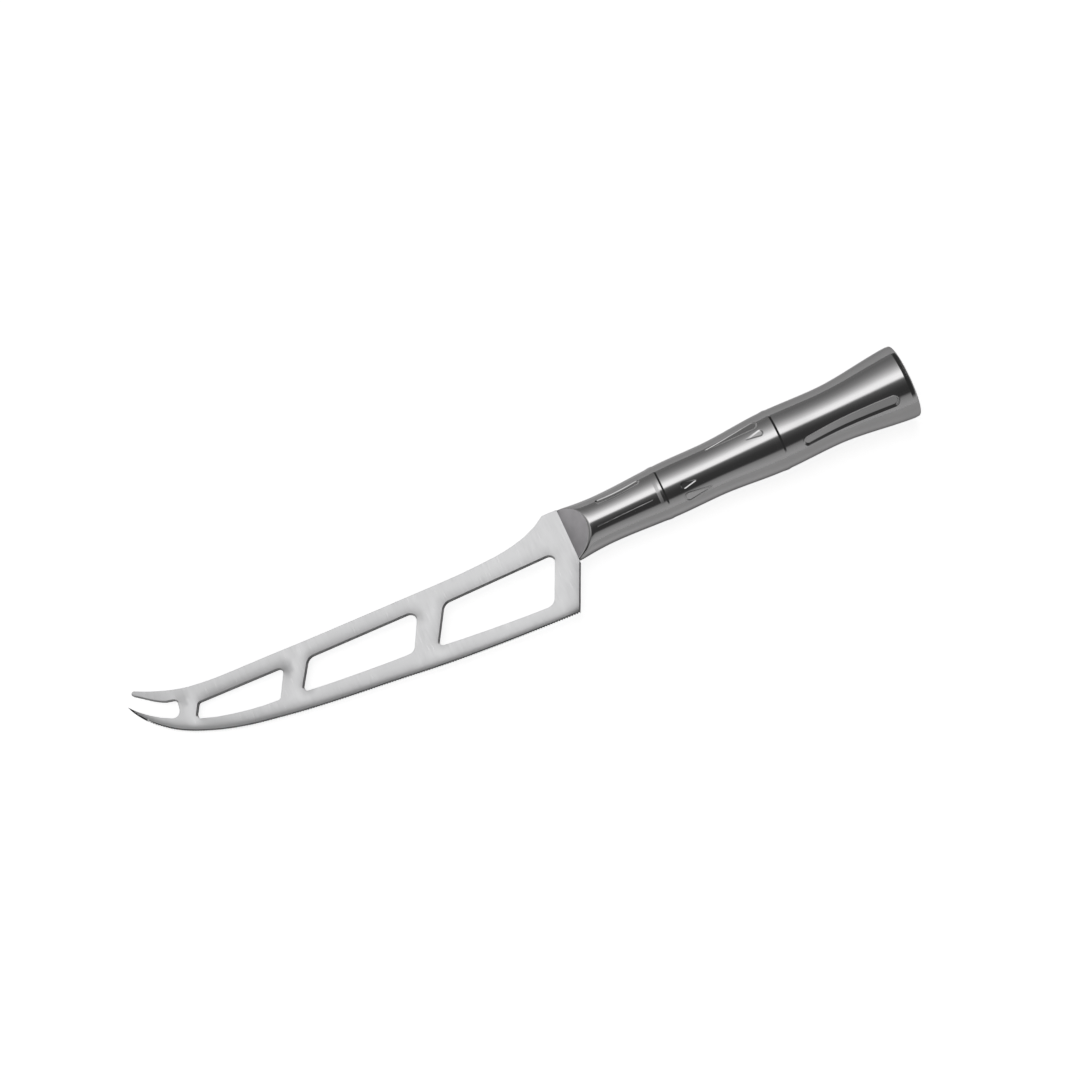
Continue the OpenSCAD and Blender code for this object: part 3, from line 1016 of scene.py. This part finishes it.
class BladeFace:
    """Height of the blade's ground face over its middle plane."""

    def __init__(self, outline, windows, sizes):
        line, rest_a, rest_b = edge_parts(outline)
        # The outline's end in the handle's mouth is no edge of the steel
        last = (MOUTH_X - 0.3) * MM
        shoulder = (rest_a[:, 0] > last) & (rest_b[:, 0] > last)
        rest_a, rest_b = rest_a[~shoulder], rest_b[~shoulder]
        for loop in windows:
            # The steel lies outside a window, so its segments are taken the other way round
            rest_a = np.concatenate([rest_a, np.roll(loop, -1, axis=0)])
            rest_b = np.concatenate([rest_b, loop])
        ahead = unit(rest_b - rest_a)
        # Parts that run towards the handle have the steel over them
        low = ahead[:, 0] > 0.25
        self.edge = line[:-1], line[1:]
        self.low = rest_a[low], rest_b[low]
        self.rest = rest_a[~low], rest_b[~low]
        self.sizes = sizes
        self.tip_x = outline[:, 0].min()
        self.heel_x = outline[np.argmin(outline[:, 1]), 0]

    def height(self, points, back):
        """Height of the photographed face, or how far the back lies under the middle plane."""
        s = self.sizes
        half = BLADE_HALF * MM
        low = distance_to(points, *self.low)
        rest = distance_to(points, *self.rest)
        up = distance_to(points, *self.edge)
        # The faces are worked down further towards the tip, but not at the fork
        from_tip = points[:, 0] - self.tip_x
        worn = 1 + np.clip((self.heel_x - points[:, 0]) / (self.heel_x - self.tip_x), 0, 1)
        fork_length, fork_share = FORK_FADE
        off_fork = np.clip(from_tip / (fork_length * MM) - 0.5, fork_share, 1)
        soft = s.soft_drop * worn * off_fork * fade(low, s.soft_width) ** 2
        depth, low_depth = BREAK_DEPTHS
        burr = depth * s.burr_width * fade(rest, s.burr_width) ** 2
        burr += low_depth * s.low_burr_width * fade(low, s.low_burr_width)
        # The roll and the grind get smaller towards the tip of the lower prong
        tip_length, tip_share = TIP_FADE
        left = tip_share + (1 - tip_share) * np.clip(from_tip / (tip_length * MM), 0, 1)
        depth = s.roll_drop * worn * left
        roll = depth * fade(up, s.roll_width * left) ** 2 + s.turn_drop * fade(up, s.turn_width) ** 2
        if not back:
            return half - roll - s.bevel_drop * fade(up, s.bevel_height) - soft - burr
        deep = 2 * half - s.edge_thickness - depth - s.turn_drop - s.bevel_drop
        return half - deep * fade(up, s.grind_height * left) ** 2 - burr

    def normal(self, points, back):
        """Normals of the photographed face or of the back, from heights a little to each side."""
        e = 0.02 * MM
        dx = self.height(points + [e, 0], back) - self.height(points - [e, 0], back)
        dy = self.height(points + [0, e], back) - self.height(points - [0, e], back)
        away = np.full_like(dx, -2 * e if back else 2 * e)
        return unit(np.stack([-dx, -dy, away], -1))


def blade_points(loops):
    """Points for the blade's face: its outlines, rows inside them and a loose grid between."""
    points = [p for loop in loops for p in loop]
    starts = np.concatenate(loops)
    ends = np.concatenate([np.roll(loop, -1, axis=0) for loop in loops])
    for gap in (n * MM for n in ROW_GAPS):
        # Points of a row are up to twice as far apart as it is from the outline, or up to 0.9 mm
        row = []
        for loop in loops:
            spaced = split_long(loop, max(gap, 0.45 * MM) * 2)
            ahead = unit(np.roll(spaced, -1, axis=0) - np.roll(spaced, 1, axis=0))
            left = np.stack([-ahead[:, 1], ahead[:, 0]], -1)
            for way in (1, -1):
                moved = spaced + way * left * gap
                row.append(moved[inside(moved, loops)])
        row = np.concatenate(row)
        row = row[distance_to(row, starts, ends) > 0.9 * gap]
        # One point in each cell, so that none lie too close together
        cell = max(gap * 0.7, 0.3 * MM)
        taken = set()
        for p in row:
            key = (round(p[0] / cell), round(p[1] / cell))
            if key not in taken:
                taken.add(key)
                points.append(p)
    low, high = starts.min(0), starts.max(0)
    xs = np.arange(low[0], high[0], GRID_STEP * MM)
    ys = np.arange(low[1], high[1], GRID_STEP * MM)
    grid = np.array([(x, y) for x in xs for y in ys])
    grid = grid[inside(grid, loops)]
    points.extend(grid[distance_to(grid, starts, ends) > GRID_MARGIN * MM])
    return np.array(points)


def fill_loops(loops, points):
    """Points and anticlockwise triangles of the area that the loops bound."""
    edges = []
    base = 0
    for loop in loops:
        count = len(loop)
        edges.extend((base + i, base + (i + 1) % count) for i in range(count))
        base += count
    out = delaunay_2d_cdt([Vector(p / MM) for p in points], edges, [], 0, 1e-5)
    points = np.array([(p.x, p.y) for p in out[0]]) * MM
    triangles = np.array(out[2])
    triangles = triangles[inside(points[triangles].mean(1), loops)]
    a, b, c = (points[triangles[:, i]] for i in range(3))
    area = (b[:, 0] - a[:, 0]) * (c[:, 1] - a[:, 1]) - (b[:, 1] - a[:, 1]) * (c[:, 0] - a[:, 0])
    clockwise = area < 0
    triangles[clockwise] = triangles[clockwise][:, [0, 2, 1]]
    return points, triangles.tolist()


def tang_corners():
    """Corners of the tang and the corners of each of its sides."""
    length, y1, z1 = (n * MM for n in TANG)
    xs = (MOUTH_X - TANG_OVERLAP) * MM, MOUTH_X * MM + length
    corners = [(x, y, z) for x in xs for y in (-y1, y1) for z in (-z1, z1)]
    sides = ((0, 1, 3, 2), (4, 6, 7, 5), (0, 4, 5, 1), (2, 3, 7, 6), (0, 2, 6, 4), (1, 5, 7, 3))
    return corners, sides


def blade_mesh(name, sizes, materials):
    """Closed blade: two ground faces, the tang, and cut walls; the edge-side walls and the teeth carry
    painted shade.
    """
    loops = sorted(level_loops("blade", EDGE_Z * MM), key=len, reverse=True)
    loops = [plain_corners(loop) for loop in loops]
    outer_at = max(range(len(loops)), key=lambda i: np.ptp(loops[i][:, 0]))
    outline = loops.pop(outer_at)
    outline = outline[outline[:, 0] < (MOUTH_X + 0.01) * MM]
    outline[:, 0] = np.minimum(outline[:, 0], MOUTH_X * MM)
    face = BladeFace(outline, loops, sizes)
    outline, notch = deepen_notches(outline, sizes.notch_gain)
    loops = [split_long(loop, OUTLINE_STEP * MM) for loop in [outline] + loops]
    flat_points, triangles = fill_loops(loops, blade_points(loops))
    top = np.column_stack([flat_points, face.height(flat_points, False)])
    bottom = np.column_stack([flat_points, -face.height(flat_points, True)])
    normals = np.concatenate([face.normal(flat_points, False), face.normal(flat_points, True)])
    tang, tang_sides = tang_corners()
    blade = Faces(np.concatenate([top, bottom, tang]))
    count = len(flat_points)
    # The teeth on the photographed face get the cut walls' painted shade
    shaded_tooth = distance_to(flat_points, *face.edge) < notch + TOOTH_MARGIN * MM
    sides = {}
    for a, b, c in triangles:
        blade.smooth((a, b, c), normals, int(shaded_tooth[a] and shaded_tooth[b] and shaded_tooth[c]))
        blade.smooth((c + count, b + count, a + count), normals)
        sides.update({(a, b): True, (b, c): True, (c, a): True})
    for i, j in sides:
        if (j, i) not in sides:
            wall = (j, i, i + count, j + count)
            # Only the walls that face the edge side get the painted shade; the walls that face the
            # spine side are as bright as the faces
            faces_spine = flat_normal(blade.points, wall)[1] > 0.3
            blade.flat(wall, 0 if faces_spine else 1)
    for side in tang_sides:
        blade.flat([2 * count + k for k in side], 1)
    return blade.piece(name, materials)


# Finishes

class Nodes:
    """Short way to build a node tree."""

    def __init__(self, tree):
        self.tree = tree
        tree.nodes.clear()

    def add(self, kind, **values):
        node = self.tree.nodes.new(kind)
        for key, value in values.items():
            if key in node.inputs:
                node.inputs[key].default_value = value
            else:
                setattr(node, key, value)
        return node

    def join(self, source, target):
        self.tree.links.new(source, target)

    def math(self, operation, a, b=None):
        node = self.add("ShaderNodeMath", operation=operation)
        for socket, value in zip(node.inputs, (a, b)):
            if value is None:
                continue
            if isinstance(value, (int, float)):
                socket.default_value = value
            else:
                self.join(value, socket)
        return node.outputs[0]

    def split(self, vector):
        node = self.add("ShaderNodeSeparateXYZ")
        self.join(vector, node.inputs["Vector"])
        return node.outputs

    def range(self, value, from_min, from_max, to_min, to_max):
        node = self.add("ShaderNodeMapRange")
        self.join(value, node.inputs["Value"])
        for key, number in zip(
            ("From Min", "From Max", "To Min", "To Max"), (from_min, from_max, to_min, to_max)
        ):
            node.inputs[key].default_value = number
        return node.outputs["Result"]

    def ramp(self, value, stops):
        """stops holds pairs of place and level, or of place, level and alpha."""
        node = self.add("ShaderNodeValToRGB")
        self.join(value, node.inputs["Fac"])
        elements = node.color_ramp.elements
        while len(elements) < len(stops):
            elements.new(1.0)
        for element, stop in zip(elements, stops):
            element.position = stop[0]
        for element, stop in zip(elements, stops):
            level = stop[1]
            color = (level, level, level) if isinstance(level, float) else level
            element.color = (*color, stop[2] if len(stop) > 2 else 1.0)
        return node


def stretched_noise(nodes, scale, detail, roughness=0.55):
    """Noise over the object's own coordinates, with its own scale along each axis."""
    place = nodes.add("ShaderNodeTexCoord")
    mapping = nodes.add("ShaderNodeMapping")
    mapping.inputs["Scale"].default_value = scale
    nodes.join(place.outputs["Object"], mapping.inputs["Vector"])
    noise = nodes.add("ShaderNodeTexNoise", Scale=1.0, Detail=detail, Roughness=roughness)
    nodes.join(mapping.outputs["Vector"], noise.inputs["Vector"])
    return noise.outputs["Fac"]


class Finish:
    """Material with one principled shader, which takes its colour, roughness and relief from noise."""

    def __init__(self, name, **values):
        self.material = bpy.data.materials.new(name)
        self.material.use_nodes = True
        self.nodes = Nodes(self.material.node_tree)
        self.shader = self.nodes.add("ShaderNodeBsdfPrincipled", **values)
        output = self.nodes.add("ShaderNodeOutputMaterial")
        self.nodes.join(self.shader.outputs["BSDF"], output.inputs["Surface"])

    def tint(self, noise, color, dark, light, ends=NOISE_ENDS):
        """Colour between a darker and a lighter share of the plain one."""
        stops = []
        for place, share in zip(ends, (dark, light)):
            stops.append((place, tuple(min(1.0, c * share) for c in color)))
        ramp = self.nodes.ramp(noise, stops)
        self.nodes.join(ramp.outputs["Color"], self.shader.inputs["Base Color"])

    def roughen(self, noise, low, high):
        """Roughness that follows the noise."""
        rough = self.nodes.range(noise, *NOISE_ENDS, low, high)
        self.nodes.join(rough, self.shader.inputs["Roughness"])

    def emboss(self, noise, strength, distance=0.02 * MM):
        """Fine relief that follows the noise."""
        relief = self.nodes.add("ShaderNodeBump", Strength=strength, Distance=distance)
        self.nodes.join(noise, relief.inputs["Height"])
        self.nodes.join(relief.outputs["Normal"], self.shader.inputs["Normal"])


def steel(name, color, roughness, cloud, grain, spread, rough_spread, relief):
    """Metal with soft clouds in its colour and a directed grain in its roughness and relief.

    cloud and grain are the scales of the two noises along each axis. spread and rough_spread are
    how far the colour and the roughness go to either side.
    """
    finish = Finish(name, Metallic=1.0)
    # A grey tint keeps the metal's grazing edges from turning white
    finish.shader.inputs["Specular Tint"].default_value = (0.5, 0.5, 0.5, 1)
    clouds = stretched_noise(finish.nodes, cloud, 3.0)
    finish.tint(clouds, color, 1 - spread, 1 + spread)
    lines = stretched_noise(finish.nodes, grain, 5.0, 0.6)
    finish.roughen(lines, roughness - rough_spread, roughness + rough_spread)
    finish.emboss(lines, relief)
    return finish.material


def shaded_cut_wall(name, color):
    """Rough wall that the cutting die leaves, painted nearly black and without sheen as shade."""
    finish = Finish(name)
    finish.shader.inputs["Specular IOR Level"].default_value = 0.0
    lines = stretched_noise(finish.nodes, (900, 900, 150), 4.0)
    finish.tint(lines, color, 0.8, 1.25)
    finish.roughen(lines, 0.5, 0.62)
    finish.emboss(lines, 0.4)
    return finish.material


def loose_mix(name, color):
    """Hard-set mineral grains."""
    finish = Finish(name, Roughness=0.9)
    grains = stretched_noise(finish.nodes, (1500, 1500, 1500), 6.0, 0.7)
    finish.tint(grains, color, 0.6, 1.3)
    finish.emboss(grains, 0.8, 0.3 * MM)
    return finish.material


def moulded(name, color):
    """Plain moulded plastic with a fine skin."""
    finish = Finish(name)
    skin = stretched_noise(finish.nodes, (2500, 2500, 2500), 3.0)
    finish.tint(skin, color, 0.85, 1.2, (0.35, 0.65))
    finish.roughen(skin, 0.5, 0.65)
    return finish.material


def polished_steel(context):
    """Steel of the shells, welds and cap weld, made once."""
    name = "handle_polished_steel"
    f = context.scene.knife_finishes
    return bpy.data.materials.get(name) or steel(
        name, f.shell_color, f.shell_roughness, (90, 90, 90), (60, 2600, 2600), 0.02, 0.02, 0.06
    )


def cheek_steel(context):
    """Steel of the ground cheeks and of the shells' inner walls, made once."""
    name = "cheek_ground_steel"
    f = context.scene.knife_finishes
    return bpy.data.materials.get(name) or steel(
        name, f.cheek_color, f.cheek_roughness, (300, 300, 300), (1800, 260, 1800), 0.06, 0.05, 0.35
    )


def give(node, material):
    """Puts a material on every slot of a CAD node."""
    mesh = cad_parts[node].data
    if not mesh.materials:
        mesh.materials.append(material)
    for i in range(len(mesh.materials)):
        mesh.materials[i] = material


# Operators

class KNIFE_OT_grind_blade(Operator):
    """Make the ground blade in place of the plain one"""

    bl_idname = "knife.grind_blade"
    bl_label = "Grind Blade"
    bl_options = {"REGISTER", "UNDO"}

    def execute(self, context):
        f = context.scene.knife_finishes
        cloud, grain = (70, 110, 70), (2400, 160, 160)
        satin = steel(
            "blade_satin_steel", f.blade_color, f.blade_roughness, cloud, grain, 0.025, 0.03, 0.25
        )
        # The cut walls facing the edge side and the teeth take a near-black colour as painted shade
        walls = shaded_cut_wall("blade_shaded_cut_steel", f.shaded_wall_color)
        piece = blade_mesh("ground_blade", context.scene.knife_blade, [satin, walls])
        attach(piece, "root")
        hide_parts("blade")
        return {"FINISHED"}


class KNIFE_OT_press_shells(Operator):
    """Make the two pressed and polished handle shells"""

    bl_idname = "knife.press_shells"
    bl_label = "Press Shells"
    bl_options = {"REGISTER", "UNDO"}

    def execute(self, context):
        materials = [polished_steel(context), cheek_steel(context)]
        sizes = context.scene.knife_shells
        for name, node, turned in (
            ("polished_shell_face", "handle_shell_face", False),
            ("polished_shell_back", "handle_shell_back", True),
        ):
            piece = shell_mesh(name, sizes, materials, turned)
            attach(piece, "root")
            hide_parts(node)
        return {"FINISHED"}


class KNIFE_OT_dress_seams(Operator):
    """Make the two welds between the shells, dressed flush and polished"""

    bl_idname = "knife.dress_seams"
    bl_label = "Dress Seams"
    bl_options = {"REGISTER", "UNDO"}

    def execute(self, context):
        sizes = context.scene.knife_shells
        for name, node, side in (
            ("dressed_seam_spine", "seam_weld_spine", 1),
            ("dressed_seam_edge", "seam_weld_edge", -1),
        ):
            piece = weld_mesh(name, sizes, polished_steel(context), side)
            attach(piece, "root")
            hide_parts(node)
        return {"FINISHED"}


class KNIFE_OT_finish_neck(Operator):
    """Give the neck insert its ground cheeks"""

    bl_idname = "knife.finish_neck"
    bl_label = "Finish Neck"
    bl_options = {"REGISTER", "UNDO"}

    def execute(self, context):
        give("neck_insert", cheek_steel(context))
        return {"FINISHED"}


class KNIFE_OT_finish_butt(Operator):
    """Polish the butt cap and the weld round it"""

    bl_idname = "knife.finish_butt"
    bl_label = "Finish Butt"
    bl_options = {"REGISTER", "UNDO"}

    def execute(self, context):
        f = context.scene.knife_finishes
        rough = f.shell_roughness + 0.04
        cloud, grain = (120, 120, 120), (200, 1500, 1500)
        cap = steel("cap_polished_steel", f.shell_color, rough, cloud, grain, 0.03, 0.03, 0.15)
        give("butt_cap", cap)
        give("cap_weld", polished_steel(context))
        return {"FINISHED"}


class KNIFE_OT_finish_filling(Operator):
    """Give the filling and its stopper their materials"""

    bl_idname = "knife.finish_filling"
    bl_label = "Finish Filling"
    bl_options = {"REGISTER", "UNDO"}

    def execute(self, context):
        f = context.scene.knife_finishes
        give("ballast", loose_mix("filling_mineral", f.filling_color))
        give("ballast_stopper", moulded("stopper_moulded", f.stopper_color))
        return {"FINISHED"}


# Painted reflection and painted shade on the floor, seen by polished metal alone: how white it shows
# by the distance from the knife's middle in millimetres, from the edge side to the spine side
PAINTED_FLOOR_REFLECTION = (
    (-60, 0.23),
    (-45, 0.2),
    (-26, 0.3),
    (-18, 0.41),
    (-13, 0.3),
    (-9.5, 0.1),
    (0, 0.1),
    (6, 0.15),
    (10.8, 1.0),
    (20, 0.7),
    (28, 0.32),
    (40, 0.27),
)
# Distance from the middle of the floor to its sides, and gap under the knife, in metres
FLOOR_REACH = 10
FLOOR_GAP = 0.00002


def floor_material(studio):
    """Pale floor that shows white to the camera and keeps the knife's shadow, with a glow by side that
    only polished metal sees as a painted reflection.
    """
    material = bpy.data.materials.new("studio_floor")
    material.use_nodes = True
    nodes = Nodes(material.node_tree)
    paint = nodes.add("ShaderNodeBsdfDiffuse", Color=(*studio.floor_color, 1))
    path = nodes.add("ShaderNodeLightPath")
    place = nodes.add("ShaderNodeTexCoord")
    side = nodes.split(place.outputs["Object"])[1]
    first, last = PAINTED_FLOOR_REFLECTION[0][0], PAINTED_FLOOR_REFLECTION[-1][0]
    stops = [((y - first) / (last - first), level) for y, level in PAINTED_FLOOR_REFLECTION]
    # Painted reflection and painted shade: a glow by side that only glossy rays see
    lit = nodes.ramp(nodes.range(side, first * MM, last * MM, 0, 1), stops)
    metal = nodes.math("MULTIPLY", path.outputs["Is Glossy Ray"], lit.outputs["Color"])
    metal = nodes.math("MULTIPLY", metal, studio.painted_reflection_share)
    seen = nodes.math("ADD", path.outputs["Is Camera Ray"], path.outputs["Is Transmission Ray"])
    seen = nodes.math("ADD", seen, metal)
    glow = nodes.add("ShaderNodeEmission")
    nodes.join(nodes.math("MULTIPLY", seen, studio.floor_glow), glow.inputs["Strength"])
    both = nodes.add("ShaderNodeAddShader")
    nodes.join(paint.outputs["BSDF"], both.inputs[0])
    nodes.join(glow.outputs["Emission"], both.inputs[1])
    output = nodes.add("ShaderNodeOutputMaterial")
    nodes.join(both.outputs["Shader"], output.inputs["Surface"])
    return material


# Light over the knife by its angle from straight up, in degrees towards the spine side
LIGHT_BY_ANGLE = (
    (-90, 0.56),
    (-78, 0.52),
    (-66, 0.44),
    (-57, 0.34),
    (-50, 0.06),
    (-40, 0.055),
    (-26, 0.065),
    (-16, 0.1),
    (-9, 0.15),
    (-4, 0.26),
    (-1, 0.95),
    (3, 1.68),
    (14, 1.68),
    (20, 1.45),
    (26, 1.12),
    (33, 0.84),
    (40, 0.62),
    (48, 0.44),
    (56, 0.33),
    (66, 0.26),
    (76, 0.22),
    (90, 0.28),
)
# Light towards the two ends of the knife: how far the direction points to an end, level, and how
# fully it holds
LIGHT_BY_END = (
    (-1.0, 0.56, 1.0),
    (-0.8, 0.4, 1.0),
    (-0.6, 0.22, 1.0),
    (-0.45, 0.4, 1.0),
    (-0.26, 0.58, 1.0),
    (-0.18, 0.5, 0.0),
    (0.2, 0.045, 0.0),
    (0.26, 0.045, 1.0),
    (0.6, 0.045, 1.0),
    (0.78, 0.26, 1.0),
    (1.0, 0.3, 1.0),
)
# Share of the light that the dark wall past the tip takes away
DARK_WALL = 0.88


def studio_light(studio):
    """World that lights the knife as a soft box over it and darker studio walls would."""
    world = bpy.data.worlds.new("studio_light")
    bpy.context.scene.world = world
    world.use_nodes = True
    nodes = Nodes(world.node_tree)
    place = nodes.add("ShaderNodeTexCoord")
    x, y, z = nodes.split(place.outputs["Generated"])
    # The soft box hangs lower towards the blade's end
    slant = nodes.range(x, -0.5, -0.17, math.radians(30), 0)
    angle = nodes.math("ADD", nodes.math("ARCTAN2", y, z), slant)
    top = max(level for _, level in LIGHT_BY_ANGLE)
    share = nodes.range(angle, -math.pi / 2, math.pi / 2, 0, 1)
    stops = [((a + 90) / 180, level / top) for a, level in LIGHT_BY_ANGLE]
    over = nodes.ramp(share, stops)
    level = nodes.math("MULTIPLY", over.outputs["Color"], top)
    ends = nodes.ramp(nodes.range(x, -1, 1, 0, 1), [((a + 1) / 2, b, c) for a, b, c in LIGHT_BY_END])
    # On the edge side the dark end stops above the floor
    high = nodes.range(angle, math.radians(-76), math.radians(-62), 0, 1)
    toward_tip = nodes.math("LESS_THAN", x, 0)
    hold = nodes.math("MULTIPLY", ends.outputs["Alpha"], nodes.math("MAXIMUM", high, toward_tip))
    mix = nodes.add("ShaderNodeMix", data_type="FLOAT")
    nodes.join(hold, mix.inputs[0])
    nodes.join(level, mix.inputs[2])
    nodes.join(ends.outputs["Color"], mix.inputs[3])
    # A dark wall stands low down past the tip
    low = nodes.range(angle, math.radians(-40), math.radians(-15), 1, 0)
    past_tip = nodes.math(
        "MULTIPLY", nodes.range(x, -0.3, -0.2, 1, 0), nodes.range(x, -0.95, -0.8, 0, 1)
    )
    dark = nodes.math("MULTIPLY", low, past_tip)
    kept = nodes.math("SUBTRACT", 1.0, nodes.math("MULTIPLY", dark, DARK_WALL))
    lit = nodes.math("MULTIPLY", mix.outputs[0], kept)
    background = nodes.add("ShaderNodeBackground")
    nodes.join(lit, background.inputs["Color"])
    background.inputs["Strength"].default_value = studio.light_level
    # The camera sees white past the floor's end
    white = nodes.add("ShaderNodeBackground")
    white.inputs["Color"].default_value = (1, 1, 1, 1)
    path = nodes.add("ShaderNodeLightPath")
    shown = nodes.add("ShaderNodeMixShader")
    nodes.join(path.outputs["Is Camera Ray"], shown.inputs[0])
    nodes.join(background.outputs["Background"], shown.inputs[1])
    nodes.join(white.outputs["Background"], shown.inputs[2])
    output = nodes.add("ShaderNodeOutputWorld")
    nodes.join(shown.outputs["Shader"], output.inputs["Surface"])


# Point that the camera looks at, in metres
CAMERA_AIM = (-0.11813, 0.00238, 0)


def studio_camera(studio):
    """Camera at the photograph's angle."""
    data = bpy.data.cameras.new("studio_camera")
    data.sensor_width = 36
    data.sensor_height = 36
    data.sensor_fit = "HORIZONTAL"
    data.lens = data.sensor_width * studio.camera_distance / studio.view_width
    data.clip_start = 0.01
    data.clip_end = 100
    camera = bpy.data.objects.new("studio_camera", data)
    bpy.context.scene.collection.objects.link(camera)
    tilt, roll = studio.camera_tilt, studio.camera_roll
    back = Vector((0, -math.sin(tilt), math.cos(tilt)))
    level_up = Vector((0, math.cos(tilt), math.sin(tilt)))
    along = Vector((1, 0, 0))
    right = along * math.cos(roll) - level_up * math.sin(roll)
    up = along * math.sin(roll) + level_up * math.cos(roll)
    aim = Vector(CAMERA_AIM)
    turn = Matrix((right, up, back)).transposed().to_4x4()
    camera.matrix_world = Matrix.Translation(aim + back * studio.camera_distance) @ turn
    bpy.context.scene.camera = camera


class KNIFE_OT_set_studio(Operator):
    """Lay the pale floor that the knife rests on, and set the light and the camera"""

    bl_idname = "knife.set_studio"
    bl_label = "Set Studio"
    bl_options = {"REGISTER", "UNDO"}

    def execute(self, context):
        studio = context.scene.knife_studio
        low_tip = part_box("blade")[0]
        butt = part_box("handle_shell_back")[0].z
        slope = (low_tip.z - butt) / low_tip.x
        points = []
        for x, y in ((-1, -1), (1, -1), (1, 1), (-1, 1)):
            x, y = x * FLOOR_REACH, y * FLOOR_REACH
            points.append((x, y, butt + slope * x - FLOOR_GAP))
        mesh = bpy.data.meshes.new("studio_floor")
        mesh.from_pydata(points, [], [(0, 1, 2, 3)])
        mesh.materials.append(floor_material(studio))
        floor = bpy.data.objects.new("studio_floor", mesh)
        context.scene.collection.objects.link(floor)
        studio_light(studio)
        studio_camera(studio)
        context.scene.view_settings.view_transform = "Standard"
        return {"FINISHED"}


class KNIFE_PT_dressing(Panel):
    """Steps that dress the cheese knife"""

    bl_idname = "KNIFE_PT_dressing"
    bl_label = "Cheese Knife"
    bl_space_type = "VIEW_3D"
    bl_region_type = "UI"
    bl_category = "Cheese Knife"

    def draw(self, context):
        layout = self.layout
        scene = context.scene
        for step in STEPS:
            layout.operator(step.bl_idname)
        for title, group in (
            ("Blade", scene.knife_blade),
            ("Shells", scene.knife_shells),
            ("Finishes", scene.knife_finishes),
            ("Studio", scene.knife_studio),
        ):
            box = layout.box()
            box.label(text=title)
            for name in group.__annotations__:
                box.prop(group, name)


STEPS = (
    KNIFE_OT_grind_blade,
    KNIFE_OT_press_shells,
    KNIFE_OT_dress_seams,
    KNIFE_OT_finish_neck,
    KNIFE_OT_finish_butt,
    KNIFE_OT_finish_filling,
    KNIFE_OT_set_studio,
)
GROUPS = (
    ("knife_blade", KnifeBladeSizes),
    ("knife_shells", KnifeShellSizes),
    ("knife_finishes", KnifeFinishes),
    ("knife_studio", KnifeStudio),
)


def register():
    for name, group in GROUPS:
        bpy.utils.register_class(group)
        setattr(bpy.types.Scene, name, PointerProperty(type=group))
    for step in STEPS:
        bpy.utils.register_class(step)
    bpy.utils.register_class(KNIFE_PT_dressing)


def unregister():
    bpy.utils.unregister_class(KNIFE_PT_dressing)
    for step in reversed(STEPS):
        bpy.utils.unregister_class(step)
    for name, group in reversed(GROUPS):
        delattr(bpy.types.Scene, name)
        bpy.utils.unregister_class(group)


def corners(bounds):
    """The two corners of a box as plain lists."""
    return [[float(n) for n in corner] for corner in bounds]


def main():
    register()
    bpy.ops.knife.grind_blade()
    bpy.ops.knife.press_shells()
    bpy.ops.knife.dress_seams()
    bpy.ops.knife.finish_neck()
    bpy.ops.knife.finish_butt()
    bpy.ops.knife.finish_filling()
    bpy.ops.knife.set_studio()


if __name__ == "__main__":
    main()
